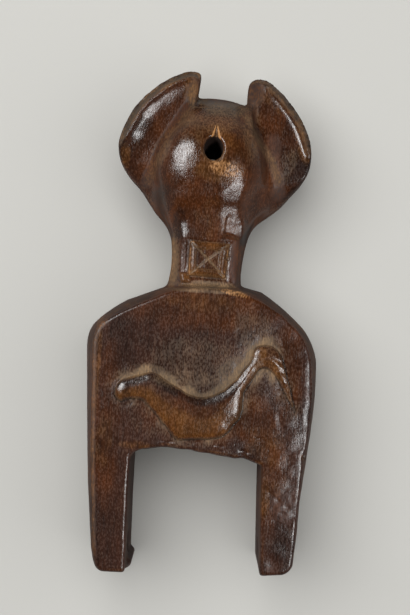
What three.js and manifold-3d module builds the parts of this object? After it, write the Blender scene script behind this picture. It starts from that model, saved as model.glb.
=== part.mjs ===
// A carved wooden heddle pulley from a narrow-strip loom, one piece of wood, lying on its front.
// Millimetres. +X across, +Y from the feet to the ears, +Z up from the surface that it lies on.
// The origin is on that surface, under the middle of the outline. The back of the carving faces up.
import * as THREE from "three";
import { mergeVertices } from "three/addons/utils/BufferGeometryUtils.js";
import Module from "manifold-3d";

const wasm = await Module();
wasm.setup();

// Driving dimensions.
const BODY_DEPTH = 38;
const LEFT_FOOT_Y = -81.4;
const RIGHT_FOOT_Y = -80;
const SHOULDER_HALF_WIDTH = 38;
const FOOT_HALF_WIDTH = 32.6;
const EDGE_ROUNDING = 3.8;
const EDGE_ROUNDING_DEPTH = 15;
const GAP_LEFT_X = -21;
const GAP_RIGHT_X = 21.4;
const NECK_HALF_WIDTH = 11.2;
const NECK_BACK_Z = 33.6;
const NECK_FRONT_Z = 8;
const SKULL_X = 1;
const SKULL_Z = 21.5;
const SKULL_RADIUS = 18.2;
const SKULL_BACK_Z = 37;
const SKULL_FACE_Z = 10;
const MUZZLE_Y = 41;
const EAR_RIM_Z = 30.5;
const EAR_THICKNESS = 12;
const AXLE_RADIUS = 3.3;
const AXLE_Y = -74.2;
const CORD_HOLE_RADIUS = 3.3;
const CORD_HOLE_Y = 56;
const CORD_HOLE_LEAN = 0.1;

const WOOD = { color: 0x47291b, roughness: 0.42, metalness: 0 };

// A closed three.js geometry as a solid that can be joined and cut.
function solid(geometry) {
  const bare = geometry.clone();
  bare.deleteAttribute("normal");
  bare.deleteAttribute("uv");
  const merged = mergeVertices(bare, 1e-4);
  return new wasm.Manifold(
    new wasm.Mesh({
      numProp: 3,
      vertProperties: merged.attributes.position.array,
      triVerts: new Uint32Array(merged.index.array),
    }),
  );
}

// A solid back as a three.js geometry.
function geometryOf(made) {
  const { vertProperties, triVerts } = made.getMesh();
  const geometry = new THREE.BufferGeometry();
  geometry.setAttribute("position", new THREE.BufferAttribute(vertProperties, 3));
  geometry.setIndex(new THREE.BufferAttribute(triVerts, 1));
  geometry.computeVertexNormals();
  return geometry;
}

// A flat shape given thickness between two heights.
function slab(shape, lowZ, highZ, options = {}) {
  const settings = { depth: highZ - lowZ, bevelEnabled: false, curveSegments: 10, ...options };
  return new THREE.ExtrudeGeometry(shape, settings).translate(0, 0, lowZ);
}

// A slab whose rim is rounded over on both faces, inside the drawn outline.
function roundedSlab(shape, lowZ, highZ, rounding, roundingDepth, segments) {
  return slab(shape, lowZ + roundingDepth, highZ - roundingDepth, {
    bevelEnabled: true,
    bevelThickness: roundingDepth,
    bevelSize: rounding,
    bevelOffset: -rounding,
    bevelSegments: segments,
  });
}

// The widest outline of the stirrup body: two tapering legs under sloping shoulders.
function bodyOutline() {
  const belowFeet = LEFT_FOOT_Y - 4;
  const shape = new THREE.Shape();
  shape.moveTo(-FOOT_HALF_WIDTH, belowFeet);
  shape.lineTo(-SHOULDER_HALF_WIDTH, -9);
  shape.quadraticCurveTo(-SHOULDER_HALF_WIDTH, -2.6, -33.4, -0.2);
  shape.quadraticCurveTo(-24, 7.6, -12, 11.6);
  shape.lineTo(12.6, 12);
  shape.quadraticCurveTo(22, 9.2, 31.2, 1.6);
  shape.quadraticCurveTo(37.6, -4.4, SHOULDER_HALF_WIDTH, -13);
  shape.quadraticCurveTo(SHOULDER_HALF_WIDTH + 0.4, -26, 36.6, -44);
  shape.lineTo(FOOT_HALF_WIDTH, belowFeet);
  shape.closePath();
  return shape;
}

// The space between the legs, under a low uneven arch. The worn one has a hollow round the left axle hole
// and a small lip left standing under it.
function gapOutline(worn) {
  const belowFeet = LEFT_FOOT_Y - 6;
  const shape = new THREE.Shape();
  shape.moveTo(GAP_RIGHT_X + 1.2, belowFeet);
  shape.lineTo(GAP_RIGHT_X, -44);
  shape.quadraticCurveTo(-6, -37.4, GAP_LEFT_X, -42);
  if (worn) {
    shape.lineTo(GAP_LEFT_X, -67.5);
    shape.quadraticCurveTo(GAP_LEFT_X - 2.4, -72, GAP_LEFT_X - 1.6, -77);
    shape.lineTo(GAP_LEFT_X + 1, -78.2);
    shape.lineTo(GAP_LEFT_X + 1.2, belowFeet);
  } else {
    shape.lineTo(GAP_LEFT_X, belowFeet);
  }
  shape.closePath();
  return shape;
}

// What is sawn off below one foot: a straight cut, and the outer corner taken off.
function footCut(side, footY) {
  const corner = 3;
  const outerX = side * FOOT_HALF_WIDTH;
  const shape = new THREE.Shape();
  shape.moveTo(0, footY);
  shape.lineTo(outerX - side * corner, footY);
  shape.lineTo(outerX + side * corner, footY + 2 * corner);
  shape.lineTo(outerX + side * 12, footY + 2 * corner);
  shape.lineTo(outerX + side * 12, footY - 12);
  shape.lineTo(0, footY - 12);
  shape.closePath();
  return slab(shape, -1, BODY_DEPTH + 1);
}

// The stirrup body with its gap, its two feet of unequal length, and the axle hole through both legs.
function stirrup() {
  const block = roundedSlab(bodyOutline(), 0, BODY_DEPTH, EDGE_ROUNDING, EDGE_ROUNDING_DEPTH, 5);
  const thinSkin = 5;
  const wornGap = slab(gapOutline(true), -1, BODY_DEPTH - thinSkin);
  const plainGap = slab(gapOutline(false), BODY_DEPTH - thinSkin - 0.5, BODY_DEPTH + 1);
  const axle = new THREE.CylinderGeometry(AXLE_RADIUS, AXLE_RADIUS, 2 * SHOULDER_HALF_WIDTH, 20);
  axle.rotateZ(Math.PI / 2).translate(0, AXLE_Y, BODY_DEPTH / 2);
  const cuts = [wornGap, plainGap, axle, footCut(-1, LEFT_FOOT_Y), footCut(1, RIGHT_FOOT_Y)];
  return cuts.reduce((rest, cut) => rest.subtract(solid(cut)), solid(block));
}

// The long-beaked bird carved in low relief across the back of the body.
function birdOutline() {
  const shape = new THREE.Shape();
  shape.moveTo(-24.7, -26.3);
  shape.quadraticCurveTo(-28.4, -21.4, -23.6, -18.8);
  shape.lineTo(-15.2, -16.3);
  shape.quadraticCurveTo(-12, -17.6, -5.6, -21.6);
  shape.quadraticCurveTo(2.4, -26, 8.1, -20.9);
  shape.lineTo(16.2, -10.4);
  shape.quadraticCurveTo(16.8, -5.8, 21, -5.8);
  shape.quadraticCurveTo(26, -6.6, 27, -13.4);
  shape.lineTo(30.8, -26.5);
  shape.lineTo(26.8, -20);
  shape.quadraticCurveTo(22.4, -12.2, 18.4, -14.4);
  shape.lineTo(14.2, -21.4);
  shape.quadraticCurveTo(14, -29, 10.8, -31.6);
  shape.lineTo(6.4, -36.4);
  shape.quadraticCurveTo(0.6, -37.8, -5.9, -37.6);
  shape.lineTo(-17.4, -25.8);
  shape.quadraticCurveTo(-20.4, -24.2, -24.7, -26.3);
  return shape;
}

function bird() {
  const reliefHeight = 1.5;
  const root = 1;
  return solid(
    slab(birdOutline(), BODY_DEPTH - root, BODY_DEPTH, {
      bevelEnabled: true,
      bevelThickness: reliefHeight,
      bevelSize: 0.8,
      bevelOffset: -0.8,
      bevelSegments: 2,
    }),
  );
}

// The neck is squared, with its corners taken off, and waisted by the lathe-turned skull above it.
function neck() {
  const corner = 4;
  const w = NECK_HALF_WIDTH;
  const section = new THREE.Shape();
  section.moveTo(-w + corner, -NECK_BACK_Z);
  section.lineTo(w - corner, -NECK_BACK_Z);
  section.lineTo(w, -NECK_BACK_Z + corner);
  section.lineTo(w, -NECK_FRONT_Z - corner);
  section.lineTo(w - corner, -NECK_FRONT_Z);
  section.lineTo(-w + corner, -NECK_FRONT_Z);
  section.lineTo(-w, -NECK_FRONT_Z - corner);
  section.lineTo(-w, -NECK_BACK_Z + corner);
  section.closePath();
  const bottomY = 5;
  const topY = 34;
  const bar = slab(section, bottomY, topY).rotateX(-Math.PI / 2);
  return solid(bar.translate(SKULL_X / 2, 0, 0));
}

// A geometry with its upper half and its lower half stretched or flattened along Z, each by its own factor.
function reshapedInDepth(geometry, above, below) {
  const place = geometry.attributes.position;
  for (let i = 0; i < place.count; i += 1) {
    const z = place.getZ(i);
    place.setZ(i, z > 0 ? z * above : z * below);
  }
  return geometry;
}

// The skull swells up out of the neck and closes over at the crown. It is fuller behind than at the face.
function skull() {
  const profile = [
    [0, 22],
    [9.8, 22],
    [11.6, 28],
    [14.6, 34],
    [17.2, 41],
    [SKULL_RADIUS, 48],
    [17.8, 55],
    [16.6, 61],
    [14.6, 67],
    [11, 72],
    [6, 75],
    [0, 76],
  ].map(([radius, y]) => new THREE.Vector2(radius, y));
  const turned = new THREE.LatheGeometry(profile, 40);
  const above = (SKULL_BACK_Z - SKULL_Z) / SKULL_RADIUS;
  const below = (SKULL_Z - SKULL_FACE_Z) / SKULL_RADIUS;
  return solid(reshapedInDepth(turned, above, below).translate(SKULL_X, 0, SKULL_Z));
}

// The outline of the two ears, flaring from the neck. The space between their tips is cut out afterwards.
function earOutline() {
  const shape = new THREE.Shape();
  shape.moveTo(-11, 24);
  shape.quadraticCurveTo(-12.4, 29, -18.7, 37.9);
  shape.quadraticCurveTo(-30.4, 50.4, -30.2, 56.9);
  shape.quadraticCurveTo(-29.8, 65, -22.1, 73);
  shape.quadraticCurveTo(-13.2, 81.6, -4, 82.2);
  shape.lineTo(13.6, 81.2);
  shape.quadraticCurveTo(19.6, 80.4, 25.9, 71.6);
  shape.quadraticCurveTo(33, 64, 32.7, 56.4);
  shape.quadraticCurveTo(31.6, 47.4, 24.6, 40);
  shape.quadraticCurveTo(13.6, 33, 12.4, 24);
  shape.closePath();
  return shape;
}

// A long oval hollow, turned in the plane of the ear, that leaves the ear its rim.
function earHollow(x, y, turn) {
  const oval = new THREE.SphereGeometry(1, 28, 18).scale(7.2, 15.6, 5.6);
  return solid(oval.rotateZ(turn).translate(x, y, EAR_RIM_Z + 0.6));
}

function ears() {
  const plate = roundedSlab(earOutline(), EAR_RIM_Z - EAR_THICKNESS, EAR_RIM_Z, 2, 5, 3);
  return solid(plate)
    .subtract(earHollow(-16.8, 61.2, -0.55))
    .subtract(earHollow(20.8, 61.2, 0.5));
}

// What is cut away between the ear tips: straight walls down to the crown, which slopes back to the face.
function crownCut() {
  const wall = new THREE.Shape();
  wall.moveTo(-8, 62);
  wall.lineTo(-4.5, 84);
  wall.lineTo(12.4, 84);
  wall.lineTo(11.5, 62);
  wall.closePath();
  const slope = Math.atan2(16, 10.5);
  const reach = 90;
  const above = new THREE.BoxGeometry(reach, reach, reach).translate(0, 0, reach / 2);
  above.rotateX(-slope).translate(0, 65.5, 34);
  return solid(slab(wall, 0, 60)).intersect(solid(above));
}

// A blunt muzzle on the hidden side. Its flat end carries the head on the surface below.
function muzzle() {
  const height = SKULL_FACE_Z + 8;
  const cone = new THREE.CylinderGeometry(12, 7.4, height, 28);
  const snout = solid(cone.rotateX(Math.PI / 2).scale(1, 1.1, 1).translate(SKULL_X, MUZZLE_Y, height / 2));
  const mouth = new THREE.BoxGeometry(30, 1.2, 6).translate(SKULL_X, MUZZLE_Y - 4, 1.5);
  return snout.subtract(solid(mouth));
}

// Two low round eyes on the hidden face.
function eyes() {
  const spread = 8.6;
  const eye = (side) =>
    solid(new THREE.SphereGeometry(3.2, 16, 12).translate(SKULL_X + side * spread, 56, SKULL_FACE_Z + 4));
  return eye(-1).add(eye(1));
}

// The square amulet on the nape, raised on the flat of the neck and scored from corner to corner.
function amulet() {
  const halfWidth = 6.4;
  const halfHeight = 5.8;
  const middle = new THREE.Vector3(SKULL_X, 20.7, NECK_BACK_Z);
  const raised = 1.3;
  const plate = new THREE.BoxGeometry(2 * halfWidth, 2 * halfHeight, 2 * raised);
  const tilt = Math.atan2(halfHeight, halfWidth);
  const groove = (turn) =>
    solid(new THREE.BoxGeometry(15, 0.9, 0.9).rotateZ(turn).translate(0, 0, raised));
  return solid(plate)
    .subtract(groove(tilt))
    .subtract(groove(-tilt))
    .translate(middle.toArray());
}

// The hole for the hanging cord, bored through the skull at a slant and worn a little longer than wide,
// with the notch that the cord has cut above it.
function cordHole() {
  const through = BODY_DEPTH + 8;
  const middleZ = through / 2 - 4;
  const middleY = CORD_HOLE_Y - CORD_HOLE_LEAN * (SKULL_BACK_Z - middleZ);
  const bore = new THREE.CylinderGeometry(CORD_HOLE_RADIUS, CORD_HOLE_RADIUS, through, 24);
  bore.rotateX(Math.PI / 2).scale(1, 1.12, 1).rotateX(-Math.atan(CORD_HOLE_LEAN));
  bore.translate(SKULL_X, middleY, middleZ);
  const notch = new THREE.ConeGeometry(1.3, 6, 12);
  notch.translate(SKULL_X + 0.4, CORD_HOLE_Y + 5.4, 36);
  return solid(bore).add(solid(notch));
}

const head = skull().add(ears()).add(muzzle()).add(eyes()).subtract(crownCut());
const carving = [bird(), neck(), head, amulet()].reduce((whole, piece) => whole.add(piece), stirrup());
const carved = geometryOf(carving.subtract(cordHole()));

// The carving is set down on the surface that it lies on, with the middle of its outline at the origin.
carved.computeBoundingBox();
const middle = carved.boundingBox.getCenter(new THREE.Vector3());
carved.translate(-middle.x, -middle.y, -carved.boundingBox.min.z);

const pulley = new THREE.Mesh(carved, new THREE.MeshStandardMaterial(WOOD));
pulley.name = "heddle_pulley";

const group = new THREE.Group();
group.add(pulley);

export default group;
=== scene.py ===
# %% [markdown]
# # A carved wooden heddle pulley
# A heddle pulley hangs over a narrow-strip loom. Its two legs held a bobbin wheel on an axle, and a
# cord went through the hole in its head. This one is a single piece of dark, handled wood that lies
# on its front, so we look at its carved back: a bird in low relief, a neck with a square amulet, and
# an animal head with two dished ears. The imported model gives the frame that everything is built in.

# %% Load the frame
import math
import bpy
import numpy as np
import openvdb
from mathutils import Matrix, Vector


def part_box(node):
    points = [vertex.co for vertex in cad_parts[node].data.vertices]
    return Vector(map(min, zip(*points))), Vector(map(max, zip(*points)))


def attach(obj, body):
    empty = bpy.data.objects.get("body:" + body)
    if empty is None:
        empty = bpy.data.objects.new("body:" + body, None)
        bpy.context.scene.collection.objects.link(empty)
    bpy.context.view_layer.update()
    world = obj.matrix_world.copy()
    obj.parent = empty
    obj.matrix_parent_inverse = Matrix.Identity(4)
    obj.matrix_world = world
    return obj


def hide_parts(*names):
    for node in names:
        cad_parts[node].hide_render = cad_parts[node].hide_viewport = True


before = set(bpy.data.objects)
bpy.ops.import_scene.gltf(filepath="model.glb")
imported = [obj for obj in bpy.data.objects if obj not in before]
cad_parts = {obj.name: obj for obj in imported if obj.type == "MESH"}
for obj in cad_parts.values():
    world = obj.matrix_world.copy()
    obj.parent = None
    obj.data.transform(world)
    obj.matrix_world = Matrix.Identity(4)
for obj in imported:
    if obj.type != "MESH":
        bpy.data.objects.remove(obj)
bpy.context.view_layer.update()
MM = 0.001
pulley_low, pulley_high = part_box("heddle_pulley")
pulley_size = [round(side / MM, 1) for side in pulley_high - pulley_low]
print("the pulley is", pulley_size, "mm over all")

# %% [markdown]
# ## Working like a carver
# A carver thinks in cuts and rounded-over edges, and a distance field lets us do the same. Each form
# is a function that says how far a point lies outside the wood (positive) or inside it (negative).
# Joining two forms is a minimum and cutting is a maximum, and a soft minimum or maximum leaves the
# worn, rounded edge that a hand-held tool gets. Boolean modifiers would leave knife-sharp seams.

# %% Join, cut and ease
def soft_min(a, b, ease):
    """Two forms joined, with a fillet about that wide."""
    overlap = np.maximum(ease - np.abs(a - b), 0.0) / ease
    return np.minimum(a, b) - overlap * overlap * ease / 4


def soft_max(a, b, ease):
    """What two forms share, with the edge between them rounded over."""
    return -soft_min(-a, -b, ease)


print("two forms that meet at 1 mm of ease are filled by", -soft_min(0.0, 0.0, 1.0), "mm in the corner")

# %% Fade from one place to another
def fade(low, high, value):
    """0 below low, 1 above high, and smooth between them."""
    t = np.clip((value - low) / (high - low), 0.0, 1.0)
    return t * t * (3 - 2 * t)


print("a quarter of the way, a fade has come to", fade(0, 4, 1))

# %% [markdown]
# ## Outlines
# The outlines are drawn in millimetres, seen from the back, with X across and Y from the feet to the
# ears. A pair of numbers is a corner, and four numbers are a bend: the point that pulls the curve,
# then the point where it ends. The drawing's zero lies close to the middle of the pulley, and the
# small shift between the two is named here, so that all later numbers can stay as they were drawn.

# %% Outline helpers
DRAWING_MIDDLE = np.array([0.04, 0.36])
CURVE_STEPS = 7


def outline(*stops):
    """Corners and bends as one run of points, in the drawing's millimetres."""
    points = [np.array(stops[0], float)]
    for stop in stops[1:]:
        end = np.array(stop[-2:], float)
        if len(stop) == 4:
            pull = np.array(stop[:2], float)
            start = points[-1]
            for step in range(1, CURVE_STEPS):
                t = step / CURVE_STEPS
                points.append((1 - t) ** 2 * start + 2 * t * (1 - t) * pull + t * t * end)
        points.append(end)
    return np.array(points)


print("one bend has", len(outline((0, 0), (1, 0, 1, 1))), "points")


# %% Distance to an outline
def line_distance(points, x, y, closed=False):
    """Distance to a run of points. A closed one counts as negative inside."""
    ends = np.roll(points, -1, axis=0) if closed else points[1:]
    starts = points if closed else points[:-1]
    nearest = np.full(np.broadcast(x, y).shape, 1e9)
    inside = np.zeros(nearest.shape, bool)
    for (ax, ay), (bx, by) in zip(starts, ends):
        ex, ey = bx - ax, by - ay
        wx, wy = x - ax, y - ay
        along = np.clip((wx * ex + wy * ey) / (ex * ex + ey * ey), 0, 1)
        nearest = np.minimum(nearest, (wx - ex * along) ** 2 + (wy - ey * along) ** 2)
        if closed and ey != 0:
            crosses = (ay > y) != (by > y)
            inside ^= crosses & (wx < ex * wy / ey)
    far = np.sqrt(nearest)
    return np.where(inside, -far, far) if closed else far


SQUARE = outline((0, 0), (2, 0), (2, 2), (0, 2))
print("the middle of a 2 mm square lies at", float(line_distance(SQUARE, 1.0, 1.0, closed=True)), "mm")

# %% [markdown]
# ## Smooth changes along the wood
# A width that changes along the length is given at a few stations and smoothed between them, as a
# carver's eye would. Slow waves stand for the unevenness that no hand can avoid: a few sine waves in
# chance directions, always the same ones for the same seed. A noise texture would do it too, but
# these can be worked out wherever the field needs them.

# %% Stations and slow waves
def smooth_curve(stations, spread=3.0):
    """A smooth function through a few (place, size) stations."""
    places, sizes = np.array(stations, float).T
    step = 0.1
    fine = np.arange(places[0] - spread, places[-1] + spread, step)
    window = np.hanning(2 * int(spread / step) + 1)
    rough = np.interp(fine, places, sizes)
    padded = np.pad(rough, len(window) // 2, mode="edge")
    smooth = np.convolve(padded, window / window.sum(), mode="valid")
    return lambda place: np.interp(place, fine, smooth)


def slow_waves(x, y, z, length, seed):
    """Gentle hills and hollows about that many millimetres apart, between about -1 and 1."""
    chance = np.random.default_rng(seed)
    total = 0.0
    for _ in range(6):
        direction = chance.normal(size=3)
        direction *= 2 * math.pi / (length * np.linalg.norm(direction))
        phase = direction[0] * x + direction[1] * y + direction[2] * z
        total = total + np.sin(phase + chance.uniform(0, 6.28))
    return total / 3


print("a wave 10 mm long stands at", round(float(slow_waves(0.0, 0.0, 0.0, 10, seed=1)), 2), "at zero")

# %% [markdown]
# ## The stirrup body
# The body is a thick arch with two legs. Its sides are barrelled: widest at half its depth and drawn
# in at the front and the back. So it has two outlines, the widest one and the edge of the flat back,
# and the side of the wood slides from one to the other as a point moves away from half depth.

# %% The stirrup body
BACK_Z = 38.0
HALF_DEPTH = BACK_Z / 2

WIDEST = outline(
    (-28.6, -81.3), (-31.8, -81.2, -32.5, -78), (-33.3, -73), (-35.3, -54), (-36.95, -28),
    (-37.9, -9.5), (-38, -3.6, -34.6, -0.6), (-31, 3, -25.2, 6.4), (-14.2, 10.9), (-11, 12.2),
    (12.5, 12.6), (19.1, 11.0), (26.4, 6.7, 33.4, -0.3), (37.4, -5.1, 38.4, -11.3),
    (38.8, -22, 37.7, -32.4), (36.6, -44), (35, -56.8), (34.7, -66), (33.9, -74.5), (33.7, -76.5),
    (33.2, -78.8, 30, -79.4), (24, -80), (22.4, -79.8),
)
BACK_EDGE = outline(
    (-22, -81.1), (-27.8, -81.1), (-30.2, -80.9, -30.9, -77.6), (-31.8, -73.5), (-32.8, -58.3),
    (-33.7, -45.5), (-34.4, -26.3), (-34.9, -9), (-35.0, -4.4, -32.2, -1.1), (-26.9, 2.1),
    (-20.6, 5.3), (-14.2, 8.2), (-11.6, 9.8, -6, 10.9), (1, 11.8, 10.3, 10.9), (14.1, 9.6), (19.1, 7.4),
    (25.2, 3.9), (30.5, -1.0), (34, -5.0, 35.5, -10.7), (36.5, -22), (35.7, -35.8), (34.7, -41.5),
    (34.2, -49.9), (33.5, -60), (33.1, -70.3), (32.6, -76.4), (31.6, -78.8, 29.6, -79.3), (24, -79.9),
)
LEG_GAP = outline(
    (23.1, -88), (22.3, -79), (21.6, -58), (21.3, -45), (20.4, -43.4, 14, -42.7), (4.5, -41.8),
    (-1, -41.0), (-6, -40.2, -11, -40.4), (-17.5, -41.5), (-20.8, -41.7, -21.1, -45), (-21.2, -60),
    (-20.9, -88),
)
body_width = np.ptp(WIDEST[:, 0])
print("the body is", round(float(body_width), 1), "mm wide and", BACK_Z, "mm deep")

# %% The sides and the worn back
RIGHT_EDGE_X = 33
LEG_ROLL_X = 24


def body_side(x, y, z):
    """The barrelled side, which slides between the widest outline and the drawn-in one."""
    towards_face = ((z - HALF_DEPTH) / HALF_DEPTH) ** 2
    widest = line_distance(WIDEST, x, y, closed=True)
    drawn_in = line_distance(BACK_EDGE, x, y, closed=True)
    return widest + (drawn_in - widest) * towards_face


def back_roll(x, y):
    """How far the flat back has been worn down towards its right-hand edge."""
    on_leg = fade(-68, -57, y) * fade(-24, -33, y)
    leg = 0.0048 * on_leg * np.maximum(x - LEG_ROLL_X, 0) ** 2
    return leg + 0.06 * fade(-34, -28, y) * np.maximum(x - RIGHT_EDGE_X, 0) ** 2


print("the leg's outer edge is worn", round(float(back_roll(33.0, -50.0)), 2), "mm lower")

# %% [markdown]
# ## Knocks and scratches
# The back has small knocks, most of them on the right leg, and a few long scratches. Each is a soft
# oval pressed into the height of the back, so it catches the light as a real dent does. A picture of
# scratches laid on a flat face would not.

# %% Knocks and scratches
# Each row is x, y, half width, half length, turn in degrees and depth.
DENTS = [
    (24.6, -53.6, 1.4, 0.7, -35, 0.15), (27.2, -55.8, 1.5, 0.8, -50, 0.22),
    (30.2, -57.6, 1.3, 0.9, -20, 0.2), (32.6, -60.2, 1.4, 0.7, -45, 0.2),
    (28.6, -59.6, 1.5, 0.6, -10, 0.16), (25.6, -58.2, 1.0, 0.6, 30, 0.12),
    (31.4, -54.6, 0.8, 1.4, 15, 0.13), (29.2, -52.2, 1.1, 0.6, 40, 0.12),
    (26.8, -62.4, 1.4, 0.6, -25, 0.13),
    (-8, 1.5, 5, 0.5, 12, 0.12), (12.5, -36.8, 4.2, 0.35, 14, 0.16), (20.6, -36.2, 3.4, 0.35, -18, 0.16),
    (-23.2, -15.0, 0.5, 1.8, 0, 0.14), (26.5, -30.5, 1.2, 3.0, 20, 0.22), (-30.2, -24, 0.9, 2.6, 8, 0.07),
    (-27.5, -62, 0.8, 3.5, -6, 0.06), (7.5, -39.2, 2.2, 0.8, 4, 0.35), (15.5, -40.6, 2.0, 0.9, -10, 0.4),
    (-9.5, -38.6, 2.6, 0.7, 4, 0.3),
]


def dented(x, y):
    """How deep the knocks and scratches of use lie in the back."""
    depth = 0.0
    for cx, cy, rx, ry, turn, most in DENTS:
        c, s = math.cos(math.radians(turn)), math.sin(math.radians(turn))
        across = (x - cx) * c + (y - cy) * s
        along = (y - cy) * c - (x - cx) * s
        depth = depth + most * fade(1.3, 0.2, np.hypot(across / rx, along / ry))
    return depth


def back_height(x, y):
    """The height of the carved back before the bird stands out of it."""
    swell = 0.22 * slow_waves(x, y, 0, 38, seed=4) + 0.07 * slow_waves(x, y, 0, 15, seed=9)
    swell = swell + 0.05 * slow_waves(x, y, 0, 6, seed=5) * fade(18, 28, x)
    return BACK_Z + swell - back_roll(x, y) - dented(x, y)


print(len(DENTS), "dents, the deepest", max(dent[-1] for dent in DENTS), "mm")

# %% [markdown]
# ## The bird
# A long-beaked bird runs across the back in low relief. The carver lowered the ground close around it
# and left the rest of the back high, so the bird stands no prouder than it must. Inside the outline
# the wood rises in a low step and then over a broad bevel, which catches the light on one side only.

# %% The bird
BIRD = outline(
    (-24.7, -26.3), (-27.4, -25.3, -26.8, -22.2), (-26.2, -19.6, -23.6, -18.8), (-21.5, -18.1),
    (-17.6, -16.9), (-15.2, -15.9, -12.8, -17.4), (-9.2, -19.7), (-5.6, -21.6),
    (0.3, -25.4, 5.5, -22.3), (8.1, -20.9), (11.8, -17.3), (13.8, -14.2), (15.8, -11.7),
    (16.4, -10.1), (16.6, -5.8, 20.6, -5.9), (25.2, -6.3, 26.6, -11.5), (27.7, -15.7), (29.2, -20.1),
    (30.9, -26.8), (28.5, -22.8), (26.8, -20), (25.1, -16.9), (21.6, -11.8, 18.6, -14.2),
    (17.3, -16.5), (15.6, -19.2), (14.3, -21.4), (14.0, -24.2), (14.0, -27.2), (13.2, -30.1),
    (11.5, -32.0), (10.0, -34.3), (8.2, -35.8), (5, -37.2, 1, -37), (-5.9, -37.8), (-7.6, -36.6),
    (-9.8, -33.8), (-12.7, -30.5), (-15.4, -27.7), (-17.4, -25.7), (-20.2, -24.2, -24.3, -26.1),
)
BIRD_SPINE = smooth_curve(
    [(-27, -22), (-17, -21), (-8, -27), (2, -31), (9, -27), (14, -18), (18, -10)], 2
)
bird_length = np.ptp(BIRD[:, 0])
print("the bird is", round(float(bird_length), 1), "mm long, drawn with", len(BIRD), "points")

# %% [markdown]
# ## The bird's relief
# The long beak was finished with short cuts across it, and it sinks a little towards its tip, so it
# glints in places. The bevel is a curve that flattens out, not a straight chamfer, which keeps the
# body soft and round where it is broad.

# %% The bird's relief
STEP_HEIGHT = 1.1
STEP_WIDTH = 0.2
BEVEL_SLOPE = 0.27
BEVEL_WIDTH = 3.2
BEAK_CRISPER = 0.08
BEAK_START_Y = -10
BEAK_FALL = 0.045
BEAK_CUT_DEPTH = 0.06
BEAK_CUT_LENGTH = 2.6
GROUND_SINK = 0.4
GROUND_REACH = 3.6


def beak_cuts(x, y, inside):
    """The short cuts across the beak, which also take its tip lower."""
    cuts = BEAK_CUT_DEPTH * np.sin(2 * math.pi * y / BEAK_CUT_LENGTH + 1.5 * x)
    cuts = cuts + BEAK_FALL * (y - BEAK_START_Y)
    return cuts * fade(22, 24, x) * fade(-8, -11, y) * fade(0.2, 0.6, inside)


def bird_relief(x, y):
    """How far the bird stands above the back, or how far its ground lies below it."""
    away = line_distance(BIRD, x, y, closed=True)
    inside = np.maximum(-away, 0)
    ground = -GROUND_SINK * np.exp(-np.maximum(away, 0) / GROUND_REACH)
    step_width = STEP_WIDTH - BEAK_CRISPER * fade(20, 23, x)
    step = STEP_HEIGHT * (1 - np.exp(-inside / step_width))
    bevel = BEVEL_SLOPE * BEVEL_WIDTH * np.tanh(inside / BEVEL_WIDTH)
    return ground + step + bevel + beak_cuts(x, y, inside)


print("the bird's breast stands", round(float(bird_relief(0.0, -32.0)), 2), "mm out of the back")

# %% [markdown]
# ## Holes and hollows of the body
# The axle sat in a hole through both legs. On the left the turning bobbin has worn a hollow into the
# inner side of the leg, and a small lip of wood is left standing below it. A nick is missing from the
# right edge, and the arch above the gap is ragged, because nobody smoothed it.

# %% Axle, hollow and lip
AXLE_Y = -74.3
AXLE_RADIUS = 3.3
HOLLOW_PLACE = (-15.2, -73.2, 17)
HOLLOW_RADIUS = 5.1
LIP_PLACE = (-22.2, -79.6)
LIP_REACH = 1.85
LIP_HALF_HEIGHT = 13
NICK_PLACE = (35.3, -41.4)
NICK_BOTTOM_Z = 33


def worn_hollow(x, y, z):
    """The bobbin's hollow in the left leg, as a shallow drum lying along the axle."""
    hollow_x, hollow_y, hollow_z = HOLLOW_PLACE
    around = np.hypot(y - hollow_y, (z - hollow_z) / 3.0)
    return np.hypot(around, (x - hollow_x) / 1.42) - HOLLOW_RADIUS


def leg_lip(x, y, z):
    """The lip that is left below the hollow."""
    out = np.hypot((x - LIP_PLACE[0]) / 1.5, (y - LIP_PLACE[1]) / 1.05)
    return soft_max(out - LIP_REACH, np.abs(z - HOLLOW_PLACE[2]) - LIP_HALF_HEIGHT, 2)


print("the axle holes are", 2 * AXLE_RADIUS, "mm wide and lie", AXLE_Y, "mm along the drawing")

# %% The stirrup
EDGE_EASE = 1.0
FRONT_EASE = 2.4


def stirrup(x, y, z):
    """The arch with its legs, the bird on its back, the gap and the axle's holes."""
    side = body_side(x, y, z)
    top = z - back_height(x, y) - bird_relief(x, y)
    back_ease = EDGE_EASE + 0.3 * fade(-24, -32, x)
    block = soft_max(soft_max(side, top, back_ease), -z, FRONT_EASE)
    gap = line_distance(LEG_GAP, x, y, closed=True)
    ragged = 0.25 * slow_waves(x, y, z, 4.5, seed=21) * fade(-47, -43, y)
    block = soft_max(block, -gap - ragged, 1.0)
    nick = np.hypot((x - NICK_PLACE[0]) / 1.1, (y - NICK_PLACE[1]) / 0.8) - 1
    block = soft_max(block, -soft_max(nick, NICK_BOTTOM_Z - z, 0.5), 0.4)
    block = soft_max(block, -worn_hollow(x, y, z), 0.8)
    block = soft_min(block, leg_lip(x, y, z), 0.8)
    axle = np.hypot(y - AXLE_Y, z - HALF_DEPTH) - AXLE_RADIUS
    return soft_max(block, -axle, 0.8)


in_the_leg = stirrup(np.array([-28.0]), np.array([-50.0]), np.array([19.0]))
print("the middle of the left leg lies", round(-float(in_the_leg[0]), 1), "mm inside the wood")

# %% [markdown]
# ## The neck
# The neck was squared with a knife and its corners taken off, so in section it is an uneven octagon.
# Flat planes meet along crisp lines that the light picks out, and the whole neck is slightly waisted.

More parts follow.
